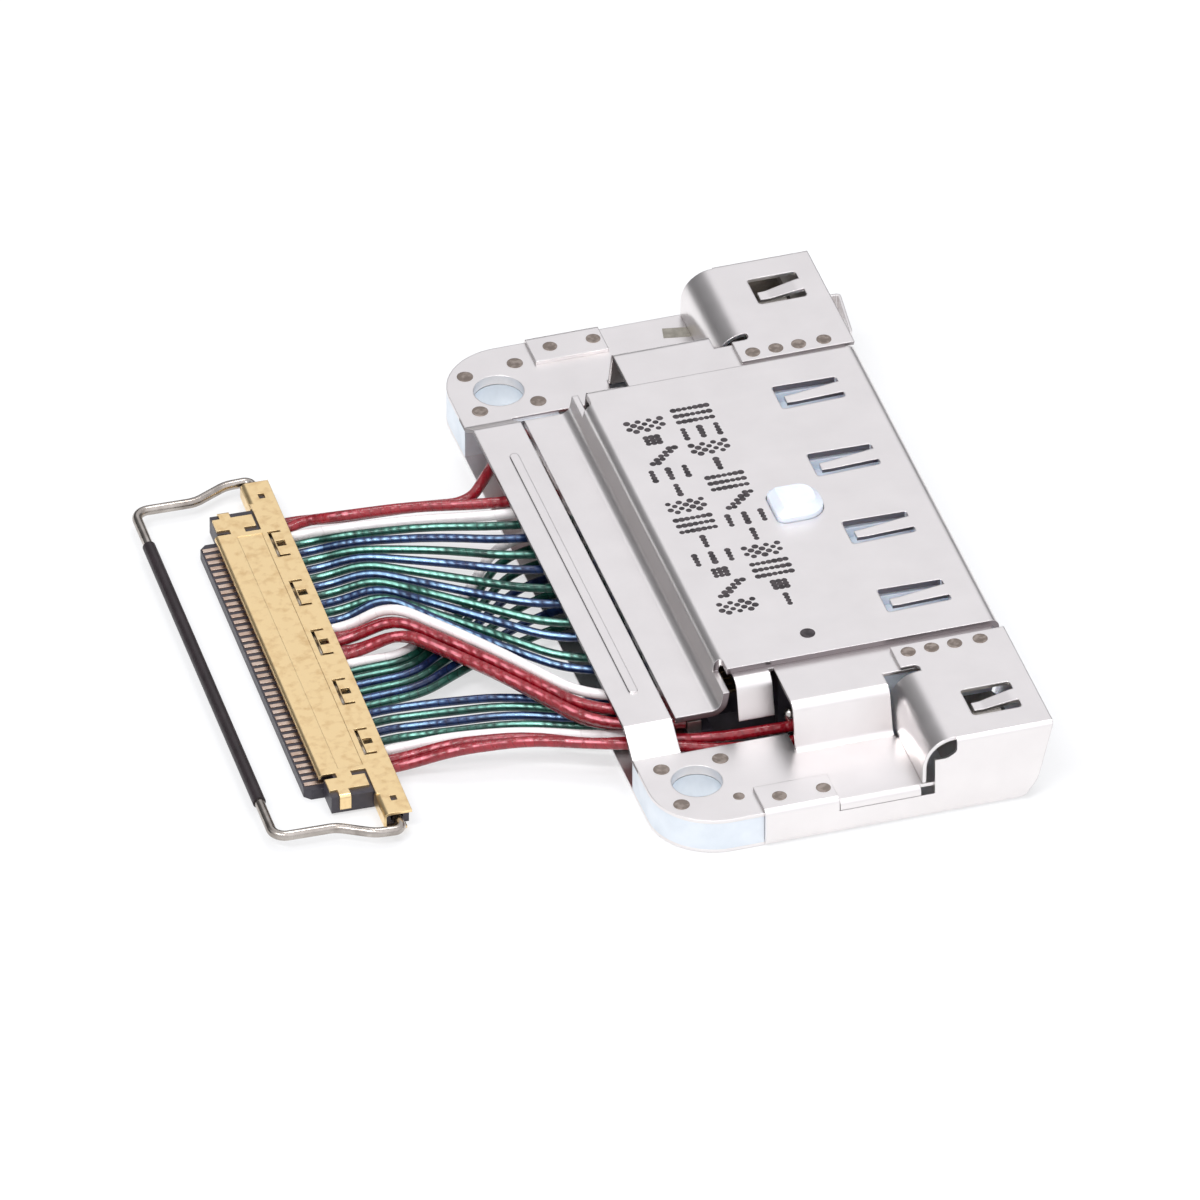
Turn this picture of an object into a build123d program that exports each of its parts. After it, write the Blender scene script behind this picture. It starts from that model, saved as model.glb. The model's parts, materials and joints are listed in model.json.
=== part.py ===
from build123d import *
import math
import os

# Docking and charging port of a tablet, with its short lead set and flat cable plug.
# Millimetres. +X towards the mating mouth, +Y along the port, +Z up from the face it
# rests on. The origin is midway between the two ear holes, on that face.

# Fixing ears
HOLE_SPACING = 26.5
HOLE_DIAMETER = 2.0
EAR_CORNER_RADIUS = 2.6
EAR_TOP = 1.54
COLLAR_WALL = 0.15
COLLAR_DEPTH = 0.42

# Overall port
SHEET = 0.15
HALF_LENGTH = 16.15
REAR_X = -2.0
MOUTH_TOP_X = 13.53
MOUTH_KNEE_X = 12.95
MOUTH_KNEE_Z = 0.9
MOUTH_TOE_X = 12.3
TOE_RADIUS = 0.8
FLOOR_BEND = 0.3
FIT_GAP = 0.03

# Levels of the stacked sheets, above the floor
SHELF_TOP = 3.37
COVER_SHEET = 0.25
COVER_TOP = 3.62
STRAP_TOP = 2.29

# Upper shell: shelf, walls and ledges
SHELF_REAR_X = 4.26
SHELF_HALF = 12.0
WALL_FOOT_HALF = 12.5
WALL_TOP_BEND = 0.4
WALL_FOOT_BEND = 0.25
LEDGE_FRONT_X = 8.95
NECK_REAR_X = 2.6
NECK_FRONT_X = 4.05
NECK_HALF = 9.97
NECK_SKIRT_Z = 1.75
NECK_BEND = 0.5
LIP_Z = 1.13

# Cable strap between the ears
STRAP_WIDTH = 1.95
STRAP_HALF = 10.1
STRAP_FOOT_HALF = 11.25
STRAP_BEND = 0.25
RIB_WIDTH = 0.35
RIB_LENGTH = 16.2
RIB_HEIGHT = 0.06
RIB_OFFSET = 1.035

# Side rails and their tabs
RAIL_REAR_X = 1.9
TAB_END_X = 4.9
TAB_WIDTH = 1.7
TAB_BEND = 0.25
RAIL_NOTCH_Z = 1.1

# Wing caps over the magnets
WING_REAR_X = 8.76
WING_SIDE_BEND = 0.2
WING_BEND = 0.35
FLANGE_INNER_HALF = 9.72
FLANK_TOP_X = 9.65
FLANK_RADIUS = 1.3
FLANK_FOOT_Z = 1.57
FLANK_INNER_HALF = 11.5
FLANK_SIDE_GAP = 0.05
FLANGE_RELIEF_WIDTH = 0.42
WING_FRONT_INNER_HALF = 10.8
WING_FRONT_FOOT_Z = 0.62
WING_WINDOW_X = 10.7
WING_WINDOW_LENGTH = 2.0
WING_WINDOW_INSET = 2.15
WING_WINDOW_WIDTH = 1.7
WING_FINGER_WIDTH = 0.75
WING_FINGER_TIP_WIDTH = 0.45
WING_FINGER_DROP = 0.25

# Cover plate
COVER_REAR_X = 0.1
COVER_LOW_HALF = 10.1
COVER_HIGH_HALF = 9.36
COVER_STEP_X = 1.92
COVER_STEP_END_X = 2.14
COVER_STEP_BEND = 0.42
COVER_TRIM_X = 2.4
COVER_NOTCH_X = 1.98
COVER_NOTCH_WIDTH = 0.44
COVER_NOTCH_INNER_HALF = 8.6
COVER_NOTCH_Z = 3.05
COVER_LIP_Z = 2.75
FINGER_COUNT = 4
FINGER_PITCH = 4.61
FINGER_WINDOW_X = 9.5
FINGER_WINDOW_LENGTH = 2.62
FINGER_WINDOW_REAR_WIDTH = 1.52
FINGER_WINDOW_FRONT_WIDTH = 1.36
FINGER_TIP_X = 9.85
FINGER_ROOT_WIDTH = 0.75
FINGER_TIP_WIDTH = 0.42
FINGER_DROP = 0.14
BOSS_X = 8.15
BOSS_SIZE = 2.0
BOSS_TOP = 4.12

# Insulator, its blade slot and the holder behind it
BLOCK_REAR_X = 5.6
BLOCK_FRONT_GAP = 0.35
BLOCK_HALF = 10.9
BLOCK_NECK_HALF = 9.4
BLOCK_NECK_END_X = 7.0
BLOCK_SIDE_RADIUS = 0.4
HOLDER_WALL_X = 4.5
LEDGE_REAR_X = 0.7
SOLDER_LEDGE_TOP = 1.2
SOLDER_LEDGE_HALF = 9.8
LEDGE_WIDE_X = 1.7
LEDGE_NECK_HALF = 9.0
SLOT_DEPTH_X = 6.3
SLOT_LOW_Z = 1.2
SLOT_HIGH_Z = 2.5
SLOT_HALF = 8.8
BLADE_COUNT = 20
BLADE_PITCH = 0.8
BLADE_WIDTH = 0.32
BLADE_SHEET = 0.12
BLADE_FRONT_X = 11.9

# Earthing bars over the cable screens
BAR_LENGTH_X = 0.55
BAR_TOP_Z = 1.72
LOW_BAR_Z = 0.4
LOW_BAR_TOP_Z = 1.0

# Power terminals beside the insulator
TERMINAL_REAR_X = 4.9
TERMINAL_INNER_HALF = 10.0
TERMINAL_LENGTH = 1.9
TERMINAL_WIDTH = 1.2
TERMINAL_TOP_Z = 2.0

# Ear spacers
SPACER_INNER_HALF = 11.25
SPACER_FRONT_X = 6.5
SPACER_FOOT_WALL = 0.25

# Magnets
MAGNET_REAR_X = 9.95
MAGNET_LENGTH_X = 2.45
MAGNET_INNER_HALF = 12.65
MAGNET_SIDE_GAP = 0.05
MAGNET_TOP_Z = 2.8
MAGNET_CHAMFER = 0.25

# Front latch hook on the far wing
HOOK_INNER_Y = 10.85
HOOK_LENGTH = 2.65
HOOK_REACH = 0.38
HOOK_SPREAD = 0.3
HOOK_TOP_Z = 3.1
HOOK_LOW_Z = 1.9
HOOK_SHEET = 0.12

# Cable plug, in its own frame: w from its rear edge, u along it, z up
PLUG_X = -10.5
PLUG_TURN = -1.85
PLUG_SHEET = 0.1
PLUG_TOP = 0.95
PLUG_WIDTH = 2.94
PLUG_BODY_HALF = 9.4
MAIN_INSET = 1.4
PLUG_MAIN_HALF = PLUG_BODY_HALF - MAIN_INSET
KNUCKLE_START = PLUG_BODY_HALF + PLUG_SHEET
KNUCKLE_LENGTH = 1.55
PLUG_HALF = KNUCKLE_START + KNUCKLE_LENGTH
NOSE_REACH = 0.6
NOSE_ROOT = 0.6
NOSE_HALF = 8.2
NOSE_TOP = 0.45
BOTTOM_INSET = 0.2
CONTACT_COUNT = 40
CONTACT_PITCH = 0.4
CONTACT_WIDTH = 0.2
CONTACT_RISE = 0.04
CONTACT_FRONT_GAP = 0.06
CONTACT_LENGTH = 2.0
KNUCKLE_WIDTH = 1.12
KNUCKLE_LOW = 0.12
TEE_GAP = 0.3
TEE_BAR_WIDTH = 0.75
TEE_W = 1.98
TEE_LENGTH = 1.6
TEE_STEM = 0.6
TEE_LEG = 0.45
TEE_LEG_W = 2.25
RECESS_FRONT_W = 2.1
RECESS_REAR_W = 1.1
RECESS_INSET = 0.25
RECESS_HALF = PLUG_MAIN_HALF - RECESS_INSET
RECESS_DEPTH = 0.02
KNUCKLE_SLOT_INSET = 0.6
KNUCKLE_SLOT_U = KNUCKLE_START + KNUCKLE_SLOT_INSET
KNUCKLE_SLOT_W = 0.5
KNUCKLE_SLOT = 0.24
SHELL_WINDOW_COUNT = 5
SHELL_WINDOW_PITCH = 3.31
SHELL_WINDOW_SHIFT = 0.3
SHELL_WINDOW_W = 0.82
SHELL_WINDOW_LENGTH = 1.7
SHELL_WINDOW_SLOT = 0.12
SHELL_WINDOW_HOOK = 0.45
SHELL_WINDOW_NOTCH = 0.36
CLAMP_FRONT_W = 0.95
CLAMP_REAR_W = 0.3
CLAMP_LOW = 0.26
CLAMP_TOP = 0.68
CLAMP_INSET = 0.3
CLAMP_HALF = PLUG_BODY_HALF - CLAMP_INSET

# Pull bar: a bent wire bail, hinged in the two knuckles
WIRE_DIAMETER = 0.4
PIN_W = 0.55
PIN_Z = 0.55
PIN_CLEARANCE = 0.05
PIN_INSET = 0.9
PIN_INNER_HALF = PLUG_HALF - PIN_INSET
SHOULDER_REACH = 0.6
SHOULDER_HALF = PLUG_HALF + SHOULDER_REACH
ARM_STEP = 0.78
ARM_HALF = SHOULDER_HALF - ARM_STEP
BAR_W = 5.46
ARM_STRAIGHT_W = 3.0
SHOULDER_W = 1.6
CORNER_RADIUS = 0.55
SLEEVE_DIAMETER = 0.52
SLEEVE_LENGTH = 17.1

# Leads: diameters of the three kinds
COAX = 0.34
WHITE = 0.42
POWER = 0.44
CORD_Z = 0.47


def near_side(solid):
    """The same piece on the near side of the port."""
    return mirror(solid, about=Plane.XZ)


def folded(points, radii, thickness, side=Side.LEFT):
    """Section of a folded sheet: its outer line, thickened to one side of its run."""
    line = Wire(FilletPolyline(*points, radius=radii).edges())
    return make_face(line.offset_2d(thickness, side=side, closed=True).edges())


def across(section, x_low, x_high):
    """Push a Y-Z section along X."""
    return extrude(Plane.YZ.offset(x_low) * section, amount=x_high - x_low)


def along(section, y_low, y_high):
    """Push an X-Z section along Y."""
    return extrude(Plane.XZ.offset(-y_high) * section, amount=y_high - y_low)


def upright(face, z_low, z_high):
    """Push a plan face upwards between two levels."""
    return extrude(Plane.XY.offset(z_low) * face, amount=z_high - z_low)


def block(x_low, x_high, y_low, y_high, z_low, z_high):
    """Box between two corners."""
    size = (x_high - x_low, y_high - y_low, z_high - z_low)
    middle = ((x_low + x_high) / 2, (y_low + y_high) / 2, (z_low + z_high) / 2)
    return Pos(*middle) * Box(*size)


def outline(points, radii=None):
    """Plan or side outline through given corners, rounded where a radius is given."""
    if radii is None:
        return make_face(Polyline(*points, close=True).edges())
    return make_face(FilletPolyline(*points, radius=radii, close=True).edges())


def one_solid(shape):
    """The single solid of a finished piece."""
    return shape.solids()[0] if len(shape.solids()) == 1 else shape


def mouth_x(z):
    """Front of the port at a height: the mating face leans back towards the floor."""
    if z < MOUTH_KNEE_Z:
        return MOUTH_TOE_X + (MOUTH_KNEE_X - MOUTH_TOE_X) * z / MOUTH_KNEE_Z
    slope = (MOUTH_TOP_X - MOUTH_KNEE_X) / (SHELF_TOP - MOUTH_KNEE_Z)
    return MOUTH_KNEE_X + slope * (z - MOUTH_KNEE_Z)


def front_envelope(inset):
    """Everything behind the leaning mating face, moved in by an inset."""
    top = SHELF_TOP + 2
    face = outline(
        [
            (REAR_X - 2, 0),
            (mouth_x(0) - inset, 0),
            (MOUTH_KNEE_X - inset, MOUTH_KNEE_Z),
            (mouth_x(top) - inset, top),
            (REAR_X - 2, top),
        ],
        [0, TOE_RADIUS, 1.2, 0, 0],
    )
    return along(face, -HALF_LENGTH - 1, HALF_LENGTH + 1)


def ear_outline(inset, inner, front):
    """Plan of one far ear: a strip with one big rounded corner."""
    rear, outer = REAR_X + inset, HALF_LENGTH - SHEET - 0.02 - inset
    corner = EAR_CORNER_RADIUS - inset
    points = [(rear, inner), (front, inner), (front, outer), (rear, outer)]
    return outline(points, [0, 0, 0, corner])


def ear_round(z_low, z_high, wall=0):
    """Round bar on a far ear's screw axis, as wide as the hole and a wall around it."""
    bar = Cylinder(HOLE_DIAMETER / 2 + wall, z_high - z_low)
    return Pos(0, HOLE_SPACING / 2, (z_low + z_high) / 2) * bar


def finger_window(x_low, x_high, rear_width, front_width):
    """Tapered window with its rear end at x_low."""
    corners = [(x_low, -rear_width / 2), (x_high, -front_width / 2)]
    corners += [(x_high, front_width / 2), (x_low, rear_width / 2)]
    return outline(corners, 0.12)


def spring_finger(root_x, tip_x, top, sheet, root_width, tip_width, drop):
    """Tapered finger, hinged at its front end and bent down towards its tip."""
    line = [(root_x + 0.3, top), (root_x - 0.15, top), (tip_x + 0.35, top - drop), (tip_x, top - drop)]
    side = folded(line, [1.5, 0.6], sheet)
    widest = max(root_width, tip_width)
    plan = outline(
        [
            (tip_x - 0.2, -tip_width / 2),
            (root_x + 0.3, -root_width / 2),
            (root_x + 0.3, root_width / 2),
            (tip_x - 0.2, tip_width / 2),
        ]
    )
    return along(side, -widest / 2, widest / 2) & upright(plan, top - drop - 1, top + 1)


def finger_rows():
    """Y of each cover finger."""
    return [(k - (FINGER_COUNT - 1) / 2) * FINGER_PITCH for k in range(FINGER_COUNT)]


def blade_rows():
    """Y of each blade contact."""
    return [(k - (BLADE_COUNT - 1) / 2) * BLADE_PITCH for k in range(BLADE_COUNT)]


def make_base_shell():
    """Lower shell: floor, side rails with tabs, and the two wing caps, one folded sheet."""
    half, wing_top = HALF_LENGTH, SHELF_TOP + SHEET
    tab_top = EAR_TOP + SHEET
    tab_inner = half - TAB_WIDTH
    tabbed = folded(
        [
            (tab_inner, tab_top),
            (half, tab_top),
            (half, 0),
            (-half, 0),
            (-half, tab_top),
            (-tab_inner, tab_top),
        ][::-1],
        [TAB_BEND, FLOOR_BEND, FLOOR_BEND, TAB_BEND],
        SHEET,
    )
    notched = folded(
        [(-half, RAIL_NOTCH_Z), (-half, 0), (half, 0), (half, RAIL_NOTCH_Z)],
        FLOOR_BEND,
        SHEET,
    )
    winged = folded(
        [
            (-FLANGE_INNER_HALF, wing_top),
            (-half, wing_top),
            (-half, 0),
            (half, 0),
            (half, wing_top),
            (FLANGE_INNER_HALF, wing_top),
        ],
        [WING_SIDE_BEND, FLOOR_BEND, FLOOR_BEND, WING_SIDE_BEND],
        SHEET,
    )
    shell = across(tabbed, RAIL_REAR_X, TAB_END_X)
    shell += across(notched, TAB_END_X, WING_REAR_X)
    shell += across(winged, WING_REAR_X, MOUTH_TOP_X + 1)
    rear = ear_outline(0, 0, RAIL_REAR_X)
    shell += upright(rear, 0, SHEET) + upright(mirror(rear, about=Plane.XZ), 0, SHEET)
    shell &= front_envelope(0)

    wing = wing_cuts()
    shell -= wing + near_side(wing)
    forms = wing_forms()
    shell += forms + near_side(forms)
    seat = ear_round(-1, 1, SPACER_FOOT_WALL + FIT_GAP)
    shell -= seat + near_side(seat)
    return one_solid(shell)


def wing_cuts():
    """What is cut from a far wing before its flank, front and finger are added."""
    top = SHELF_TOP + SHEET
    flank_plan = outline(
        [
            (WING_REAR_X - 1, FLANK_INNER_HALF - FLANGE_RELIEF_WIDTH),
            (FLANK_TOP_X, FLANK_INNER_HALF - FLANGE_RELIEF_WIDTH),
            (FLANK_TOP_X, HALF_LENGTH - SHEET - 0.01),
            (WING_REAR_X - 1, HALF_LENGTH - SHEET - 0.01),
        ],
        [0, 0.2, 0, 0],
    )
    rear_corner = outline(
        [
            (WING_REAR_X - 1, FLANGE_INNER_HALF - 1),
            (WING_REAR_X + 0.17, FLANGE_INNER_HALF - 1),
            (WING_REAR_X + 0.17, HALF_LENGTH - SHEET - 0.01),
            (WING_REAR_X - 1, HALF_LENGTH - SHEET - 0.01),
        ]
    )
    side = outline(
        [
            (WING_REAR_X - 1, 2.7),
            (WING_REAR_X + 0.55, 2.7),
            (FLANK_TOP_X, 2.95),
            (FLANK_TOP_X, top + 1),
            (WING_REAR_X - 1, top + 1),
        ],
        [0, 0.5, 0.25, 0, 0],
    )
    window_x, window_y = WING_WINDOW_X + WING_WINDOW_LENGTH / 2, HALF_LENGTH - WING_WINDOW_INSET
    window = Pos(window_x, window_y, 0) * RectangleRounded(WING_WINDOW_LENGTH, WING_WINDOW_WIDTH, 0.15)
    cuts = upright(flank_plan, top - 1, top + 1) + upright(rear_corner, top - 1, top + 1)
    cuts += along(side, HALF_LENGTH - SHEET - 0.06, HALF_LENGTH + 1)
    return cuts + upright(window, top - 0.6, top + 0.5)


def wing_forms():
    """Rear flank, folded front and pressed finger of a far wing."""
    top = SHELF_TOP + SHEET
    flank_x = FLANK_TOP_X - FLANK_RADIUS
    flank = along(
        folded(
            [(FLANK_TOP_X + 0.25, top), (flank_x, top), (flank_x - 0.04, FLANK_FOOT_Z)][::-1],
            FLANK_RADIUS - 0.03,
            SHEET,
            Side.RIGHT,
        ),
        FLANK_INNER_HALF,
        HALF_LENGTH - SHEET - FLANK_SIDE_GAP,
    )
    foot_x = mouth_x(WING_FRONT_FOOT_Z)
    front = along(
        folded(
            [
                (foot_x, WING_FRONT_FOOT_Z),
                (MOUTH_KNEE_X, MOUTH_KNEE_Z),
                (mouth_x(top), top),
                (mouth_x(top) - 0.6, top),
            ],
            [0.6, WING_BEND],
            SHEET,
        ),
        WING_FRONT_INNER_HALF,
        HALF_LENGTH - SHEET - 0.01,
    )
    finger = Pos(0, HALF_LENGTH - WING_WINDOW_INSET, 0) * spring_finger(
        WING_WINDOW_X + WING_WINDOW_LENGTH,
        WING_WINDOW_X + 0.25,
        top,
        SHEET,
        WING_FINGER_WIDTH,
        WING_FINGER_TIP_WIDTH,
        WING_FINGER_DROP,
    )
    return flank + front + finger


def make_upper_shell():
    """Upper shell: ears, cable strap, ledges, walls and shelf, one drawn sheet."""
    ledge_half = HALF_LENGTH - SHEET - 0.02
    hat = folded(
        [
            (ledge_half, EAR_TOP),
            (WALL_FOOT_HALF, EAR_TOP),
            (SHELF_HALF, SHELF_TOP),
            (-SHELF_HALF, SHELF_TOP),
            (-WALL_FOOT_HALF, EAR_TOP),
            (-ledge_half, EAR_TOP),
        ],
        [WALL_FOOT_BEND, WALL_TOP_BEND, WALL_TOP_BEND, WALL_FOOT_BEND],
        SHEET,
    )
    shell = across(hat, SHELF_REAR_X, MOUTH_TOP_X + 1)
    shell &= front_envelope(COVER_SHEET + 0.1)
    flank_x = FLANK_TOP_X - FLANK_RADIUS
    wall_cut = block(flank_x - 0.15, MOUTH_TOP_X + 2, FLANK_INNER_HALF - FLANGE_RELIEF_WIDTH,
                     WALL_FOOT_HALF + 0.35, 0, SHELF_TOP + 1)
    wall_cut += block(LEDGE_FRONT_X, MOUTH_TOP_X + 2, WALL_FOOT_HALF, HALF_LENGTH, 0, SHELF_TOP)
    shell -= wall_cut + near_side(wall_cut)

    neck = folded(
        [
            (NECK_HALF + 0.38, NECK_SKIRT_Z),
            (NECK_HALF, SHELF_TOP),
            (-NECK_HALF, SHELF_TOP),
            (-NECK_HALF - 0.38, NECK_SKIRT_Z),
        ],
        NECK_BEND,
        SHEET,
    )
    shell += across(neck, NECK_REAR_X, NECK_FRONT_X)
    shell += block(NECK_FRONT_X - 0.1, SHELF_REAR_X + 0.1, -NECK_HALF + NECK_BEND, NECK_HALF - NECK_BEND,
                   SHELF_TOP - SHEET, SHELF_TOP)

    strap_end_x = REAR_X + STRAP_WIDTH
    strap = folded(
        [
            (STRAP_FOOT_HALF + 1, EAR_TOP),
            (STRAP_FOOT_HALF, EAR_TOP),
            (STRAP_HALF, STRAP_TOP),
            (-STRAP_HALF, STRAP_TOP),
            (-STRAP_FOOT_HALF, EAR_TOP),
            (-STRAP_FOOT_HALF - 1, EAR_TOP),
        ],
        STRAP_BEND,
        SHEET,
    )
    shell += across(strap, REAR_X, strap_end_x)
    ear = upright(ear_outline(0, STRAP_FOOT_HALF + 0.1, SHELF_REAR_X + 0.01), EAR_TOP - SHEET, EAR_TOP)
    lip = across(
        folded(
            [(HALF_LENGTH, LIP_Z), (HALF_LENGTH, EAR_TOP), (ledge_half - 0.6, EAR_TOP)],
            TAB_BEND,
            SHEET,
        ),
        TAB_END_X + FIT_GAP,
        FLANK_TOP_X - FLANK_RADIUS - 0.15,
    )
    shell += ear + near_side(ear) + lip + near_side(lip)

    rib_plan = Pos(REAR_X + RIB_OFFSET, 0, 0) * Rot(0, 0, 90) * SlotOverall(RIB_LENGTH, RIB_WIDTH)
    shell += upright(rib_plan, STRAP_TOP - 0.02, STRAP_TOP + RIB_HEIGHT)
    hollow = Pos(REAR_X + RIB_OFFSET, 0, 0) * Rot(0, 0, 90) * SlotOverall(
        RIB_LENGTH - 0.2, RIB_WIDTH - 0.2
    )
    shell -= upright(hollow, STRAP_TOP - SHEET - 0.1, STRAP_TOP - SHEET + RIB_HEIGHT)

    for y in finger_rows():
        clear = finger_window(
            FINGER_WINDOW_X - 0.15,
            FINGER_WINDOW_X + FINGER_WINDOW_LENGTH + 0.15,
            FINGER_WINDOW_REAR_WIDTH + 0.3,
            FINGER_WINDOW_FRONT_WIDTH + 0.3,
        )
        shell -= upright(Pos(0, y, 0) * clear, SHELF_TOP - 1, SHELF_TOP + 1)
    shell -= upright(boss_plan(FIT_GAP), SHELF_TOP - 1, SHELF_TOP + 1)
    collar = ear_round(EAR_TOP - COLLAR_DEPTH, EAR_TOP - SHEET / 2, COLLAR_WALL)
    hole = ear_round(EAR_TOP - 1, EAR_TOP + 1)
    shell += collar + near_side(collar)
    shell -= hole + near_side(hole)
    return one_solid(shell)


def boss_plan(gap):
    """Plan of the insulator's boss: square at the rear, round at the front."""
    side = BOSS_SIZE + 2 * gap
    low, high = BOSS_X - side / 2, BOSS_X + side / 2
    points = [(low, -side / 2), (high, -side / 2), (high, side / 2), (low, side / 2)]
    return outline(points, [0.36, side * 0.42, side * 0.42, 0.36])


def make_cover():
    """Cover plate: low rear flat, step up, top with four pressed fingers, folded front."""
    low_top = STRAP_TOP
    profile = folded(
        [
            (mouth_x(COVER_LIP_Z), COVER_LIP_Z),
            (mouth_x(COVER_TOP), COVER_TOP),
            (COVER_STEP_END_X, COVER_TOP),
            (COVER_STEP_X, low_top),
            (COVER_REAR_X, low_top),
        ],
        [WING_BEND, COVER_STEP_BEND, COVER_STEP_BEND],
        COVER_SHEET,
    )
    cover = along(profile, -COVER_LOW_HALF, COVER_LOW_HALF)
    trim = block(COVER_TRIM_X, MOUTH_TOP_X + 2, COVER_HIGH_HALF, COVER_LOW_HALF + 1, 0, COVER_TOP + 1)
    notch = outline(
        [
            (COVER_NOTCH_X, COVER_NOTCH_INNER_HALF),
            (COVER_NOTCH_X + COVER_NOTCH_WIDTH, COVER_NOTCH_INNER_HALF),
            (COVER_NOTCH_X + COVER_NOTCH_WIDTH, COVER_LOW_HALF + 1),
            (COVER_NOTCH_X, COVER_LOW_HALF + 1),
        ],
        [COVER_NOTCH_WIDTH * 0.48, COVER_NOTCH_WIDTH * 0.48, 0, 0],
    )
    trim += upright(notch, COVER_NOTCH_Z, COVER_TOP + 1)
    cover -= trim + near_side(trim)

    for y in finger_rows():
        window = finger_window(
            FINGER_WINDOW_X,
            FINGER_WINDOW_X + FINGER_WINDOW_LENGTH,
            FINGER_WINDOW_REAR_WIDTH,
            FINGER_WINDOW_FRONT_WIDTH,
        )
        cover -= upright(Pos(0, y, 0) * window, COVER_TOP - 1, COVER_TOP + 1)
        cover += Pos(0, y, 0) * spring_finger(
            FINGER_WINDOW_X + FINGER_WINDOW_LENGTH,
            FINGER_TIP_X,
            COVER_TOP,
            SHEET,
            FINGER_ROOT_WIDTH,
            FINGER_TIP_WIDTH,
            FINGER_DROP,
        )
    cover -= upright(boss_plan(FIT_GAP), COVER_TOP - 1, COVER_TOP + 1)
    return one_solid(cover)


def make_blades(upper):
    """One row of stamped blade contacts, from the slot back to its solder tails."""
    if upper:
        line = [
            (BLADE_FRONT_X, SLOT_HIGH_Z - 0.1),
            (BLADE_FRONT_X - 0.4, SLOT_HIGH_Z),
            (BLOCK_REAR_X - 0.3, SLOT_HIGH_Z),
            (BLOCK_REAR_X - 0.9, SOLDER_LEDGE_TOP + BLADE_SHEET),
            (LEDGE_REAR_X + BAR_LENGTH_X + 0.75, SOLDER_LEDGE_TOP + BLADE_SHEET),
        ]
        radii, shift = [0.3, 0.25, 0.25], 0
    else:
        line = [
            (BLADE_FRONT_X, SLOT_LOW_Z + 0.1),
            (BLADE_FRONT_X - 0.4, SLOT_LOW_Z + BLADE_SHEET),
            (LEDGE_REAR_X + BAR_LENGTH_X + 0.4, SLOT_LOW_Z + BLADE_SHEET),
        ]
        radii, shift = [0.3], BLADE_PITCH / 2
    section = folded(line, radii, BLADE_SHEET)
    rows = [y + shift for y in blade_rows() if y + shift < SLOT_HALF - BLADE_WIDTH]
    return [along(section, y - BLADE_WIDTH / 2, y + BLADE_WIDTH / 2) for y in rows]


def make_insulator(blades):
    """White insulator: block with the blade slot and the locating boss."""
    plan = outline(
        [
            (BLOCK_REAR_X, -BLOCK_NECK_HALF),
            (BLOCK_NECK_END_X, -BLOCK_NECK_HALF),
            (BLOCK_NECK_END_X, -BLOCK_HALF),
            (MOUTH_TOP_X + 1, -BLOCK_HALF),
            (MOUTH_TOP_X + 1, BLOCK_HALF),
            (BLOCK_NECK_END_X, BLOCK_HALF),
            (BLOCK_NECK_END_X, BLOCK_NECK_HALF),
            (BLOCK_REAR_X, BLOCK_NECK_HALF),
        ]
    )
    body = upright(plan, SHEET, SHELF_TOP - SHEET)
    body &= front_envelope(BLOCK_FRONT_GAP)
    body -= block(SLOT_DEPTH_X, MOUTH_TOP_X + 2, -SLOT_HALF, SLOT_HALF, SLOT_LOW_Z, SLOT_HIGH_Z)
    for y in finger_rows():
        clear = finger_window(
            FINGER_WINDOW_X - 0.1,
            FINGER_WINDOW_X + FINGER_WINDOW_LENGTH + 0.1,
            FINGER_WINDOW_REAR_WIDTH,
            FINGER_WINDOW_FRONT_WIDTH,
        )
        body -= upright(Pos(0, y, 0) * clear, SLOT_HIGH_Z + 0.3, SHELF_TOP)
    boss = upright(boss_plan(0), SHELF_TOP - SHEET - 0.2, BOSS_TOP)
    boss = chamfer(boss.faces().sort_by(Axis.Z)[-1].edges(), 0.3)
    body += boss
    for blade in blades:
        body -= blade
    return one_solid(body)


def make_holder(blades):
    """Black holder behind the insulator: rear wall and solder ledge, with the blades' tails."""
    body = block(HOLDER_WALL_X, BLOCK_REAR_X, -BLOCK_NECK_HALF, BLOCK_NECK_HALF,
                 SHEET, SHELF_TOP - SHEET)
    body += block(LEDGE_REAR_X, LEDGE_WIDE_X, -SOLDER_LEDGE_HALF, SOLDER_LEDGE_HALF,
                  SHEET, SOLDER_LEDGE_TOP)
    body += block(LEDGE_WIDE_X - 0.1, HOLDER_WALL_X + 0.1, -LEDGE_NECK_HALF, LEDGE_NECK_HALF,
                  SHEET, SOLDER_LEDGE_TOP)
    for blade in blades:
        body -= blade
    return one_solid(body)


def make_spacer():
    """Far ear spacer: foot in the floor sheet, body up to the ear plate, seat for its collar."""
    plan = ear_outline(0, SPACER_INNER_HALF, RAIL_REAR_X)
    solid = upright(plan, SHEET, EAR_TOP - SHEET)
    front = block(RAIL_REAR_X - 0.1, SPACER_FRONT_X, WALL_FOOT_HALF, HALF_LENGTH - SHEET - FLOOR_BEND,
                  SHEET, EAR_TOP - SHEET)
    solid += front
    solid += ear_round(0, SHEET + 0.1, SPACER_FOOT_WALL)
    solid -= ear_round(EAR_TOP - COLLAR_DEPTH - FIT_GAP, EAR_TOP + 1, COLLAR_WALL + FIT_GAP)
    solid -= ear_round(-1, EAR_TOP + 1)
    return one_solid(solid)


def make_magnet():
    """Far magnet, filling the wing behind the mating face."""
    solid = block(MAGNET_REAR_X, MAGNET_REAR_X + MAGNET_LENGTH_X, MAGNET_INNER_HALF,
                  HALF_LENGTH - SHEET - MAGNET_SIDE_GAP, SHEET, MAGNET_TOP_Z)
    return chamfer(solid.edges().filter_by(Axis.Y), MAGNET_CHAMFER)


def make_bar(x_low, z_low, z_high):
    """Earthing bar clamped across the cable screens inside the port."""
    return block(x_low, x_low + BAR_LENGTH_X, -SOLDER_LEDGE_HALF, SOLDER_LEDGE_HALF, z_low, z_high)


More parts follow.
